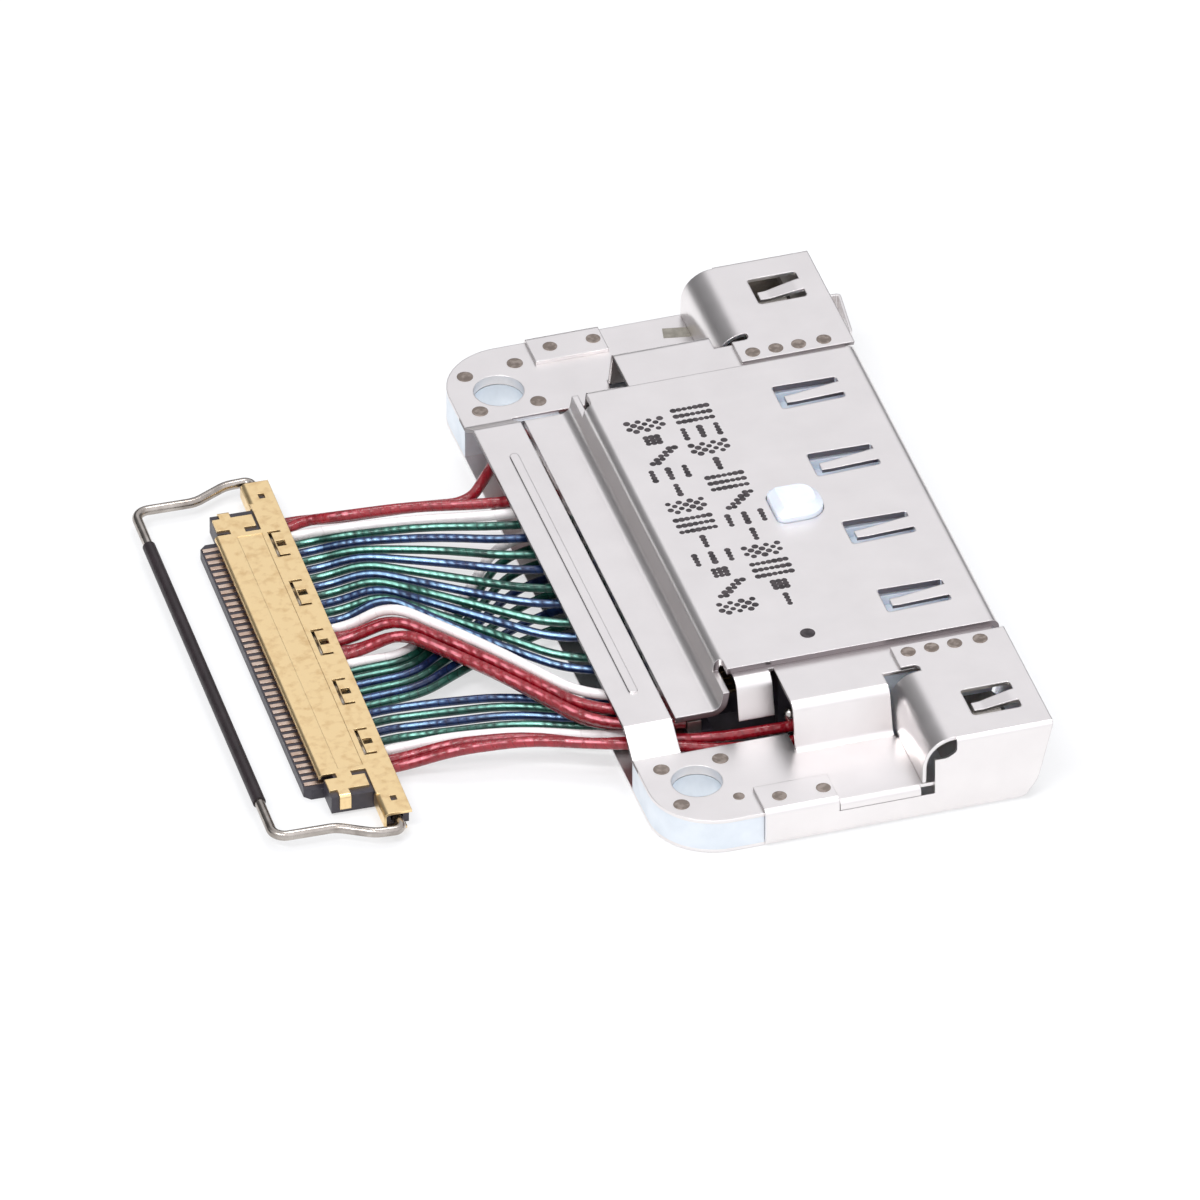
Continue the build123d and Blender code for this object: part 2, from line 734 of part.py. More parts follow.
def make_terminal():
    """Far power terminal: a folded solder lug on the floor beside the insulator."""
    inner = TERMINAL_INNER_HALF
    section = folded(
        [
            (inner + TERMINAL_WIDTH, SHEET),
            (inner, SHEET),
            (inner, TERMINAL_TOP_Z),
            (inner + TERMINAL_WIDTH, TERMINAL_TOP_Z),
        ][::-1],
        0.25,
        SHEET,
    )
    return across(section, TERMINAL_REAR_X, TERMINAL_REAR_X + TERMINAL_LENGTH)


def make_hook():
    """Sheet hook on the far side of the mating mouth."""
    base_x = mouth_x(HOOK_TOP_Z)
    plan = folded(
        [
            (base_x, HOOK_INNER_Y),
            (base_x + HOOK_REACH, HOOK_INNER_Y),
            (base_x + HOOK_REACH + HOOK_SPREAD, HOOK_INNER_Y + HOOK_LENGTH),
            (base_x, HOOK_INNER_Y + HOOK_LENGTH),
        ],
        0.18,
        HOOK_SHEET,
    )
    return upright(plan, HOOK_LOW_Z, HOOK_TOP_Z)


def on_plug(shape):
    """Move a piece from the plug's own frame to where the plug lies."""
    return Pos(PLUG_X, 0, 0) * Rot(0, 0, PLUG_TURN) * shape


def plug_point(w, u, z):
    """A point of the plug's frame in the port's frame."""
    turn = math.radians(PLUG_TURN)
    x = PLUG_X + w * math.cos(turn) - u * math.sin(turn)
    y = w * math.sin(turn) + u * math.cos(turn)
    return (x, y, z)


def pin_bore():
    """Bore of both plug knuckles for the pull bar's pins."""
    bore = Cylinder(WIRE_DIAMETER / 2 + PIN_CLEARANCE, 2 * PLUG_HALF + 2)
    bore = Pos(-PIN_W, 0, PIN_Z) * Rot(90, 0, 0) * bore
    return bore - block(-2, 1, -PIN_INNER_HALF + 0.1, PIN_INNER_HALF - 0.1, 0, 2)


def make_plug_contacts():
    """Forty contact strips on the plug's nose."""
    front = -PLUG_WIDTH - NOSE_REACH + CONTACT_FRONT_GAP
    strips = []
    for k in range(CONTACT_COUNT):
        u = (k - (CONTACT_COUNT - 1) / 2) * CONTACT_PITCH
        strips.append(
            block(front, front + CONTACT_LENGTH, u - CONTACT_WIDTH / 2, u + CONTACT_WIDTH / 2,
                  NOSE_TOP - 0.05, NOSE_TOP + CONTACT_RISE)
        )
    return strips


def make_plug_housing(contacts):
    """Black plug housing: body, contact nose, and end posts that carry the pull bar."""
    top = PLUG_TOP - PLUG_SHEET
    nose_front = -PLUG_WIDTH - NOSE_REACH
    body = block(-PLUG_WIDTH + 0.15, -CLAMP_FRONT_W - 0.05, -PLUG_BODY_HALF, PLUG_BODY_HALF, PLUG_SHEET, top)
    nose = block(nose_front, -PLUG_WIDTH + NOSE_ROOT, -NOSE_HALF, NOSE_HALF, 0, NOSE_TOP)
    nose_edges = nose.edges().filter_by(Axis.Z).sort_by(Axis.X)[:2]
    body += chamfer(nose_edges, 0.25)
    body -= block(-PLUG_WIDTH, -PLUG_WIDTH + 0.55, -NOSE_HALF, NOSE_HALF, NOSE_TOP, top + 1)
    post_front, post_low = -KNUCKLE_WIDTH + PLUG_SHEET + 0.05, KNUCKLE_LOW + PLUG_SHEET + 0.02
    for side in (-1, 1):
        low, high = sorted((side * (PLUG_BODY_HALF - 0.1), side * (PLUG_HALF - 0.25)))
        body += block(post_front, -0.06, low, high, post_low, top)
        low, high = sorted((side * (PLUG_BODY_HALF - 0.25), side * PLUG_BODY_HALF))
        body += block(-CLAMP_FRONT_W - 0.1, -0.06, low, high, post_low, top)
    body -= pin_bore()
    for strip in contacts:
        body -= strip
    return one_solid(body)


def shell_window():
    """Bracket slot with a notch in its middle, open towards the plug's rear."""
    long_slot = Rectangle(SHELL_WINDOW_SLOT, SHELL_WINDOW_LENGTH)
    reach = SHELL_WINDOW_HOOK / 2
    end = (SHELL_WINDOW_LENGTH - SHELL_WINDOW_SLOT) / 2
    hook_far = Pos(reach, end, 0) * Rectangle(SHELL_WINDOW_HOOK, SHELL_WINDOW_SLOT)
    hook_near = Pos(reach, -end, 0) * Rectangle(SHELL_WINDOW_HOOK, SHELL_WINDOW_SLOT)
    notch = Pos(SHELL_WINDOW_NOTCH / 2 + 0.1, 0, 0) * Rectangle(SHELL_WINDOW_NOTCH, SHELL_WINDOW_NOTCH)
    return long_slot + hook_far + hook_near + notch


def make_plug_top():
    """Gilt top shell of the plug: plate, folded front edge, tees and hinge knuckles."""
    low = PLUG_TOP - PLUG_SHEET
    plate = folded(
        [(-PLUG_WIDTH, PLUG_TOP - 0.2), (-PLUG_WIDTH, PLUG_TOP), (0, PLUG_TOP)][::-1],
        0.15,
        PLUG_SHEET,
    )
    shell = along(plate, -PLUG_MAIN_HALF, PLUG_MAIN_HALF)
    stem_half = TEE_STEM / 2
    tee_low = PLUG_MAIN_HALF + TEE_GAP
    tee_high = tee_low + TEE_BAR_WIDTH
    stem = block(-TEE_W - stem_half, -TEE_W + stem_half, PLUG_MAIN_HALF - 0.1, tee_low + 0.1, low, PLUG_TOP)
    bar = block(-TEE_W - TEE_LENGTH / 2, -TEE_W + TEE_LENGTH / 2, tee_low, tee_high, low, PLUG_TOP)
    leg = across(
        folded(
            [(tee_high - 0.1, PLUG_TOP), (PLUG_BODY_HALF + PLUG_SHEET, PLUG_TOP),
             (PLUG_BODY_HALF + PLUG_SHEET, 0.3)][::-1],
            0.15,
            PLUG_SHEET,
        ),
        -TEE_LEG_W - TEE_LEG / 2,
        -TEE_LEG_W + TEE_LEG / 2,
    )
    rear_strip = block(-KNUCKLE_WIDTH + 0.05, 0, PLUG_MAIN_HALF - 0.1, KNUCKLE_START + 0.2, low, PLUG_TOP)
    knuckle = along(
        folded(
            [
                (-0.2, KNUCKLE_LOW),
                (-KNUCKLE_WIDTH, KNUCKLE_LOW),
                (-KNUCKLE_WIDTH, PLUG_TOP),
                (0, PLUG_TOP),
            ][::-1],
            0.22,
            PLUG_SHEET,
        ),
        KNUCKLE_START,
        PLUG_HALF,
    )
    end = stem + bar + leg + rear_strip + knuckle
    shell += end + near_side(end)
    shell -= block(-RECESS_FRONT_W, -RECESS_REAR_W, -RECESS_HALF, RECESS_HALF,
                   PLUG_TOP - RECESS_DEPTH, PLUG_TOP + 1)
    slot = Pos(-KNUCKLE_SLOT_W, KNUCKLE_SLOT_U, 0) * Rectangle(KNUCKLE_SLOT, KNUCKLE_SLOT * 1.3)
    cut = upright(slot, PLUG_TOP - PLUG_SHEET * 1.5, PLUG_TOP + 1)
    shell -= cut + near_side(cut)
    for k in range(SHELL_WINDOW_COUNT):
        u = (k - (SHELL_WINDOW_COUNT - 1) / 2) * SHELL_WINDOW_PITCH + SHELL_WINDOW_SHIFT
        place = Pos(-SHELL_WINDOW_W, u, 0)
        shell -= upright(place * shell_window(), low - 0.2, PLUG_TOP + 0.2)
    return one_solid(shell)


def make_plug_bottom():
    """Gilt bottom plate of the plug, under the housing behind its nose."""
    front, half = -PLUG_WIDTH + NOSE_ROOT + FIT_GAP, PLUG_BODY_HALF - BOTTOM_INSET
    return block(front, 0, -half, half, 0, PLUG_SHEET)


def make_clamp():
    """Earthing clamp across the cable screens inside the plug."""
    return block(-CLAMP_FRONT_W, -CLAMP_REAR_W, -CLAMP_HALF, CLAMP_HALF, CLAMP_LOW, CLAMP_TOP)


def bail_path():
    """Centre line of the bent wire bail."""
    points = [
        (-PIN_W, PIN_INNER_HALF, PIN_Z),
        (-PIN_W, SHOULDER_HALF, PIN_Z),
        (-SHOULDER_W, SHOULDER_HALF - 0.05, PIN_Z),
        (-ARM_STRAIGHT_W, ARM_HALF, PIN_Z),
        (-BAR_W, ARM_HALF, PIN_Z),
    ]
    points += [(x, -y, z) for x, y, z in reversed(points)]
    radii = [0.3, 1.2, 1.2, CORNER_RADIUS]
    return FilletPolyline(*points, radius=radii + radii[::-1])


def swept(path, diameter):
    """Round wire or lead along a path of straight runs and tangent arcs."""
    start = path @ 0
    section = Plane(origin=start, z_dir=path % 0) * Circle(diameter / 2)
    return sweep(section, path=path)


def make_sleeve(bail):
    """Shrunk sleeve on the bail's bar."""
    sleeve = Pos(-BAR_W, 0, PIN_Z) * Rot(90, 0, 0) * Cylinder(SLEEVE_DIAMETER / 2, SLEEVE_LENGTH)
    return sleeve - bail


def lead_routes():
    """Every lead: name, diameter and the points of its route, plug end first."""
    routes = []

    def add(name, diameter, u, *points, rise=0.08):
        start = plug_point(-CLAMP_REAR_W, u, CORD_Z)
        clear = plug_point(0.75, u, CORD_Z + rise)
        routes.append((name, diameter, [start, clear, *points]))

    bar_x, low_bar_x = LEDGE_REAR_X, LEDGE_REAR_X - BAR_LENGTH_X
    mid_x, hump_x, gate_x = -5.4, -8.2, -2.4
    high, low = 1.46, 0.7

    add("lead_red_far_1", POWER, 8.72, (hump_x, 7.85, 0.95), (-5.4, 7.4, 1.15), (-3.2, 7.18, 1.22),
        (-2.0, 8.35, 1.3), (-0.5, 10.1, 1.3), (1.6, 10.75, 1.25), (TERMINAL_REAR_X, 10.9, 1.25),
        rise=0)
    add("lead_red_far_2", POWER, 8.24, (hump_x, 7.35, 1.4), (-5.4, 6.92, 1.52), (gate_x, 6.25, 1.55),
        (bar_x, 6.1, high), rise=0.31)
    add("lead_white_far", WHITE, 7.75, (hump_x, 6.8, 1.2), (mid_x, 6.05, 1.5), (gate_x, 5.35, 1.62),
        (bar_x, 5.25, high))

    coax_rows = [
        (7.2, 6.25, 5.35, 4.5, 4.35),
        (6.63, 5.75, 4.65, 3.6, 3.45),
        (6.06, 5.2, 3.8, 2.5, 2.3),
        (5.49, 4.7, 2.95, 1.5, 1.25),
        (4.92, 4.15, 2.0, 0.25, -0.1),
        (4.35, 3.6, 1.15, -0.8, -1.15),
        (3.78, 3.05, 0.35, -2.05, -2.5),
        (3.21, 2.5, -0.45, -3.05, -3.45),
        (2.64, 1.95, -1.4, -4.4, -4.9),
        (2.07, 1.42, -2.12, -5.2, -5.65),
    ]
    for number, (u, hump, middle, gate, bar) in enumerate(coax_rows, 1):
        crest = 1.5 if number == len(coax_rows) else 1.25
        add(f"lead_coax_upper_{number:02d}", COAX, u, (hump_x, hump, crest), (mid_x, middle, 1.65),
            (gate_x, gate, 1.7), (bar_x, bar, high))

    add("lead_white_middle", WHITE, 1.55, (hump_x, 0.7, 1.6), (mid_x, -2.85, 1.78),
        (gate_x, -6.9, 1.76), (bar_x, -7.38, high), rise=0.1)
    red_rows = [
        (1.07, 0.5, 1.14, -2.95, 1.18, -7.2, 1.2, -7.92, 0),
        (0.6, -0.05, 1.5, -3.6, 1.62, -7.72, 1.66, -8.42, 0.25),
        (0.12, -0.5, 1.14, -3.82, 1.18, -8.15, 1.2, -8.93, 0),
        (-0.35, -0.95, 1.5, -4.42, 1.55, -8.55, 1.58, -9.44, 0.25),
    ]
    for number, (u, y1, z1, y2, z2, y3, z3, y4, rise) in enumerate(red_rows, 1):
        add(f"lead_red_middle_{number}", POWER, u, (hump_x, y1, z1), (mid_x, y2, z2), (gate_x, y3, z3),
            (bar_x, y4, high), rise=rise)

    add("lead_white_lower", WHITE, -0.84, (hump_x, -0.85, 0.6), (-5.2, 1.5, 0.65), (-2.6, 4.45, 0.7),
        (low_bar_x, 5.2, low))
    lower_rows = [
        (-1.3, -1.35, 0.9, 3.6, 4.2),
        (-1.76, -1.8, 0.3, 2.6, 3.2),
        (-2.22, -2.25, -0.3, 1.6, 2.2),
        (-2.68, -2.7, -0.95, 0.6, 1.2),
        (-3.14, -3.15, -1.6, -0.4, 0.2),
        (-3.6, -3.6, -2.25, -1.4, -0.85),
        (-4.1, -4.4, -4.95, -6.05, -6.3),
        (-4.72, -5.05, -5.55, -6.6, -6.85),
        (-5.34, -5.7, -6.15, -7.15, -7.4),
        (-5.96, -6.3, -6.75, -7.7, -7.95),
    ]
    for number, (u, hump, middle, gate, bar) in enumerate(lower_rows, 1):
        add(f"lead_coax_lower_{number:02d}", COAX, u, (hump_x, hump, 0.68), (-5.2, middle, 0.72),
            (-2.6, gate, 0.74), (low_bar_x, bar, low))

    add("lead_white_near", WHITE, -6.6, (hump_x, -6.95, 0.85), (mid_x, -7.5, 0.92), (gate_x, -8.5, 0.85),
        (low_bar_x, -8.75, low))
    add("lead_red_near_1", POWER, -7.2, (hump_x, -7.7, 1.1), (mid_x, -8.25, 1.2), (-3.0, -9.27, 1.15),
        (-0.6, -9.85, 1.2), (1.6, -10.4, 1.25), (TERMINAL_REAR_X, -10.6, 1.25))
    add("lead_red_near_2", POWER, -7.67, (hump_x, -8.2, 1.15), (mid_x, -8.7, 1.35), (-3.0, -9.7, 1.45),
        (-0.6, -10.4, 1.35), (1.6, -10.95, 1.1), (TERMINAL_REAR_X, -11.05, 0.85))
    return routes


def bends(points):
    """Arc radius at each corner of a route, from its shorter run and its turn."""
    radii, cuts = [], []
    for before, corner, after in zip(points, points[1:], points[2:]):
        run = min(math.dist(before, corner), math.dist(corner, after))
        turn = (Vector(*corner) - Vector(*before)).get_angle(Vector(*after) - Vector(*corner))
        radii.append(0.45 * run / math.tan(math.radians(turn) / 2))
        cuts.append(0.45 * run * math.tan(math.radians(turn) / 4))
    return radii, cuts


def pushed_out(points):
    """Corners moved outward, so that the arcs pass through the given points."""
    moved = [Vector(*point) for point in points]
    wanted = list(moved)
    for _ in range(3):
        _, cuts = bends([tuple(point) for point in moved])
        for k, cut in enumerate(cuts, 1):
            back = (moved[k - 1] - moved[k]).normalized()
            ahead = (moved[k + 1] - moved[k]).normalized()
            inward = back + ahead
            if inward.length > 0.001:
                moved[k] = wanted[k] - inward.normalized() * cut
    return [tuple(point) for point in moved]


def make_lead(diameter, points):
    """Tube of a lead: straight runs joined by arcs as large as the runs allow."""
    corners = pushed_out(points)
    radii, _ = bends(corners)
    return swept(FilletPolyline(*corners, radius=radii), diameter), radii


def build():
    """Every node of the model by name."""
    upper_blades, lower_blades = make_blades(True), make_blades(False)
    spacer, magnet, terminal = make_spacer(), make_magnet(), make_terminal()
    contacts = make_plug_contacts()
    bail = swept(bail_path(), WIRE_DIAMETER)
    nodes = {
        "base_shell": make_base_shell(),
        "upper_shell": make_upper_shell(),
        "cover": make_cover(),
        "insulator": make_insulator(upper_blades + lower_blades),
        "rear_holder": make_holder(upper_blades + lower_blades),
        "blade_contacts_upper": Compound(children=upper_blades),
        "blade_contacts_lower": Compound(children=lower_blades),
        "ear_spacer_far": spacer,
        "ear_spacer_near": near_side(spacer),
        "magnet_far": magnet,
        "magnet_near": near_side(magnet),
        "earth_bar_upper": make_bar(LEDGE_REAR_X, SOLDER_LEDGE_TOP, BAR_TOP_Z),
        "earth_bar_lower": make_bar(LEDGE_REAR_X - BAR_LENGTH_X, LOW_BAR_Z, LOW_BAR_TOP_Z),
        "power_terminal_far": terminal,
        "power_terminal_near": near_side(terminal),
        "latch_hook": make_hook(),
        "plug_housing": on_plug(make_plug_housing(contacts)),
        "plug_contacts": on_plug(Compound(children=contacts)),
        "plug_top_shell": on_plug(make_plug_top()),
        "plug_bottom_shell": on_plug(make_plug_bottom()),
        "plug_earth_clamp": on_plug(make_clamp()),
        "pull_bar": on_plug(bail),
        "pull_bar_sleeve": on_plug(make_sleeve(bail)),
    }
    for name, diameter, points in lead_routes():
        nodes[name], radii = make_lead(diameter, points)
        print(name, "bend radii", [round(r, 1) for r in radii])
    return nodes


os.makedirs("parts", exist_ok=True)
for node_name, shape in build().items():
    export_step(shape, f"parts/{node_name}.step")
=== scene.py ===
"""Looks of a flat docking and charging port with its lead set and its cable plug.

The solids come packed from CAD and stay where they are. This script gives each one its
finish, adds the fine pieces that are too small for the solids, and sets up the camera, the
lamps and the pale floor. Sizes in the classes are millimetres, and the scene is in metres.
"""

import json
import logging
import math
from collections.abc import Mapping, Sequence
from dataclasses import dataclass, replace
from enum import Enum
from typing import Any

import bpy
from mathutils import Euler, Matrix, Vector


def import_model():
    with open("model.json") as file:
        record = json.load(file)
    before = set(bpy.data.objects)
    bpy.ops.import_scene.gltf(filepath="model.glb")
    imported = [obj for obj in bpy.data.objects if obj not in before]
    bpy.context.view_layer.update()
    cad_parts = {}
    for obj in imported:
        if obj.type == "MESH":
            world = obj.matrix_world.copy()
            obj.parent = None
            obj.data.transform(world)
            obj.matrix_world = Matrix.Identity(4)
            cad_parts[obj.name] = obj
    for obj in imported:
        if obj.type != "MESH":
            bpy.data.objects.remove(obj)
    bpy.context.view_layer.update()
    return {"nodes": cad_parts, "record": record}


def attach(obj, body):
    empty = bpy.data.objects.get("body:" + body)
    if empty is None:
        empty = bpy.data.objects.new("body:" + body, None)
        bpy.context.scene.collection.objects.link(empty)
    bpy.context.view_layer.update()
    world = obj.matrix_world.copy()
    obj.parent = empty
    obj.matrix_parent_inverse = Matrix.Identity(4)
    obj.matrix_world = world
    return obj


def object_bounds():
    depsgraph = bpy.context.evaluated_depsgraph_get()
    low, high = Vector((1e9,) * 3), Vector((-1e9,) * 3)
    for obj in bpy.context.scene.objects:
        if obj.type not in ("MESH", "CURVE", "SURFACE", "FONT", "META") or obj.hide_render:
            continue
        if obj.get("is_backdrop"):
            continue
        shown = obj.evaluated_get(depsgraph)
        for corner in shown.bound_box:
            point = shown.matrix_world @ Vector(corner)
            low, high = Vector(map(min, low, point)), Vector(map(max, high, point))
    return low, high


LOG = logging.getLogger("port")
MM = 0.001
# A face looks up when its normal rises at least so far.
UPWARD = 0.9


def linear(hex_colour: str) -> tuple[float, float, float, float]:
    """Turns an sRGB colour into the linear one that shaders take.

    Args:
        hex_colour: The colour as #RRGGBB.

    Returns:
        Red, green and blue in linear light, and an alpha of one.
    """
    shares = [int(hex_colour[i : i + 2], 16) / 255 for i in (1, 3, 5)]
    light = [s / 12.92 if s <= 0.04045 else ((s + 0.055) / 1.055) ** 2.4 for s in shares]
    return (light[0], light[1], light[2], 1.0)


def repeats(size: float) -> float:
    """Texture scale, in repeats per metre, of a feature of a size in millimetres."""
    return 1.0 / (size * MM)


def add_node(
    tree: bpy.types.NodeTree,
    kind: str,
    inputs: Mapping[str | int, Any] | None = None,
    **settings: Any,
) -> bpy.types.Node:
    """Adds a shader node with its settings, values and links.

    Args:
        tree: The node tree that gets the node.
        kind: Blender's name of the node's type.
        inputs: What each input takes, an output socket to link or a plain value.
        settings: The node's own options by name.

    Returns:
        The new node.
    """
    node = tree.nodes.new(kind)
    for name, value in settings.items():
        setattr(node, name, value)
    for key, value in (inputs or {}).items():
        if isinstance(value, bpy.types.NodeSocket):
            tree.links.new(value, node.inputs[key])
        else:
            node.inputs[key].default_value = value
    return node


class Slot(Enum):
    """The record's material slots."""

    STAMPED_STEEL = "stamped_steel"
    CAST_BLOCK = "cast_block"
    MAGNET_PLATE = "magnet_plate"
    TINNED_METAL = "tinned_metal"
    WIRE_STEEL = "wire_steel"
    GOLD_PLATE = "gold_plate"
    WHITE_PLASTIC = "white_plastic"
    BLACK_PLASTIC = "black_plastic"
    BLACK_SLEEVE = "black_sleeve"
    RED_INSULATION = "red_insulation"
    WHITE_INSULATION = "white_insulation"
    GREEN_COAX = "green_coax"
    BLUE_COAX = "blue_coax"


@dataclass(frozen=True)
class Finish:
    """A surface with a mottled colour, a mottled gloss and a fine relief.

    The grain is stretched along one axis by giving it another size there, as rolling, drawing
    and moulding do. A real grain is a few hundredths of a millimetre or less, too fine to
    show, so it is drawn as coarse as it needs to be. Sizes are millimetres and shares are
    from 0 to 1.
    """

    name: str
    colour: str
    second_colour: str
    roughness: float
    metallic: float = 0.0
    ior: float = 1.5
    coat: float = 0.0
    coat_roughness: float = 0.05
    mottle_size: float = 1.2
    mottle_share: tuple[float, float] = (0.35, 0.7)
    gloss_spread: float = 0.05
    gloss_share: float = 0.4
    gloss_levels: tuple[float, float] = (0.3, 0.7)
    grain: tuple[float, float, float] = (0.06, 0.06, 0.06)
    relief: float = 0.002
    edge_round: float = 0.03
    subsurface: float = 0.0
    scatter: float = 0.3

    def material(self) -> bpy.types.Material:
        """Makes the finish's material.

        Returns:
            The new material.
        """
        made = bpy.data.materials.new(self.name)
        made.use_nodes = True
        tree = made.node_tree
        tree.nodes.clear()
        place = add_node(tree, "ShaderNodeTexCoord").outputs["Object"]
        shader = add_node(
            tree,
            "ShaderNodeBsdfPrincipled",
            {
                "Base Color": self.paint(tree, place),
                "Roughness": self.gloss(tree, place),
                "Metallic": self.metallic,
                "Normal": self.surface(tree, place),
                "Coat Weight": self.coat,
                "Coat Roughness": self.coat_roughness,
                "Subsurface Weight": self.subsurface,
                "Subsurface Scale": self.scatter * MM,
            },
        )
        if self.metallic == 0.0:
            shader.inputs["IOR"].default_value = self.ior
        add_node(tree, "ShaderNodeOutputMaterial", {"Surface": shader.outputs["BSDF"]})
        return made

    def paint(self, tree: bpy.types.NodeTree, place: bpy.types.NodeSocket) -> bpy.types.NodeSocket:
        """Mottles the two colours over the surface.

        Args:
            tree: The material's nodes.
            place: The object coordinates.

        Returns:
            The colour's socket.
        """
        noise = add_node(
            tree,
            "ShaderNodeTexNoise",
            {"Vector": place, "Scale": repeats(self.mottle_size), "Detail": 4.0},
        )
        share = add_node(
            tree,
            "ShaderNodeMapRange",
            {
                "Value": noise.outputs["Fac"],
                "From Min": self.mottle_share[0],
                "From Max": self.mottle_share[1],
            },
        )
        return self.mix(tree, share.outputs["Result"], self.colour, self.second_colour)

    def mix(
        self,
        tree: bpy.types.NodeTree,
        share: bpy.types.NodeSocket,
        first: str | bpy.types.NodeSocket,
        second: str | bpy.types.NodeSocket,
    ) -> bpy.types.NodeSocket:
        """Blends two colours.

        Args:
            tree: The material's nodes.
            share: How much of the second colour shows.
            first: A hex colour or a colour socket.
            second: A hex colour or a colour socket.

        Returns:
            The blend's socket.
        """
        node = add_node(tree, "ShaderNodeMix", {0: share}, data_type="RGBA")
        for index, value in ((6, first), (7, second)):
            if isinstance(value, str):
                node.inputs[index].default_value = linear(value)
            else:
                tree.links.new(value, node.inputs[index])
        return node.outputs[2]

    def gloss(self, tree: bpy.types.NodeTree, place: bpy.types.NodeSocket) -> bpy.types.NodeSocket:
        """Varies the roughness a little, as handling and tooling do.

        Args:
            tree: The material's nodes.
            place: The object coordinates.

        Returns:
            The roughness's socket.
        """
        noise = add_node(
            tree,
            "ShaderNodeTexNoise",
            {"Vector": place, "Scale": repeats(self.mottle_size * self.gloss_share), "Detail": 3.0},
        )
        spread = add_node(
            tree,
            "ShaderNodeMapRange",
            {
                "Value": noise.outputs["Fac"],
                "From Min": self.gloss_levels[0],
                "From Max": self.gloss_levels[1],
                "To Min": self.roughness - self.gloss_spread,
                "To Max": self.roughness + self.gloss_spread,
            },
        )
        return spread.outputs["Result"]

    def surface(self, tree: bpy.types.NodeTree, place: bpy.types.NodeSocket) -> bpy.types.NodeSocket:
        """Rounds the sharp edges and raises the grain.

        Args:
            tree: The material's nodes.
            place: The object coordinates.

        Returns:
            The normal's socket.
        """
        rounded = add_node(tree, "ShaderNodeBevel", {"Radius": self.edge_round * MM}, samples=4)
        stretched = add_node(
            tree,
            "ShaderNodeMapping",
            {"Vector": place, "Scale": [repeats(size) for size in self.grain]},
        )
        noise = add_node(
            tree,
            "ShaderNodeTexNoise",
            {"Vector": stretched.outputs["Vector"], "Scale": 1.0, "Detail": 2.0},
        )
        bump = add_node(
            tree,
            "ShaderNodeBump",
            {
                "Height": noise.outputs["Fac"],
                "Distance": self.relief * MM,
                "Strength": 1.0,
                "Normal": rounded.outputs["Normal"],
            },
        )
        return bump.outputs["Normal"]


@dataclass(frozen=True)
class SheetSteel(Finish):
    """Stamped sheet, whose sheared edges are painted darker than its rolled faces: partly for their
    torn, dull face and partly as painted shade along the sheet's step.

    The sheared edges are those faces that look along one axis, within a distance of the
    port's middle, because the folded walls of the same sheet may look the same way.
    """

    sheared_shade_axis: tuple[float, float, float] = (0.0, 0.0, 0.0)
    sheared_shade_half: float = 100.0
    sheared_shade_facing: float = 0.85
    # Colour of the sheared edges: partly their torn face, partly painted shade.
    sheared_shade_colour: str = "#6E6768"

    def paint(self, tree: bpy.types.NodeTree, place: bpy.types.NodeSocket) -> bpy.types.NodeSocket:
        """Darkens the sheared edges, partly for their torn face and partly as painted shade.

        Args:
            tree: The material's nodes.
            place: The object coordinates.

        Returns:
            The colour's socket.
        """
        rolled = super().paint(tree, place)
        normal = add_node(tree, "ShaderNodeNewGeometry").outputs["True Normal"]
        facing = add_node(
            tree, "ShaderNodeVectorMath", {0: normal, 1: self.sheared_shade_axis}, operation="DOT_PRODUCT"
        )
        along = add_node(
            tree, "ShaderNodeMath", {0: facing.outputs["Value"]}, operation="ABSOLUTE"
        )
        # Painted shade and torn face: the faces that look along the axis near the middle are
        # darkened.
        sheared_shade_faces = add_node(
            tree,
            "ShaderNodeMath",
            {0: along.outputs["Value"], 1: self.sheared_shade_facing},
            operation="GREATER_THAN",
        )
        across = add_node(tree, "ShaderNodeSeparateXYZ", {"Vector": place})
        distance = add_node(
            tree, "ShaderNodeMath", {0: across.outputs["Y"]}, operation="ABSOLUTE"
        )
        inside = add_node(
            tree,
            "ShaderNodeMath",
            {0: distance.outputs["Value"], 1: self.sheared_shade_half * MM},
            operation="LESS_THAN",
        )
        both = add_node(
            tree,
            "ShaderNodeMath",
            {0: sheared_shade_faces.outputs["Value"], 1: inside.outputs["Value"]},
            operation="MULTIPLY",
        )
        return self.mix(tree, both.outputs["Value"], rolled, self.sheared_shade_colour)


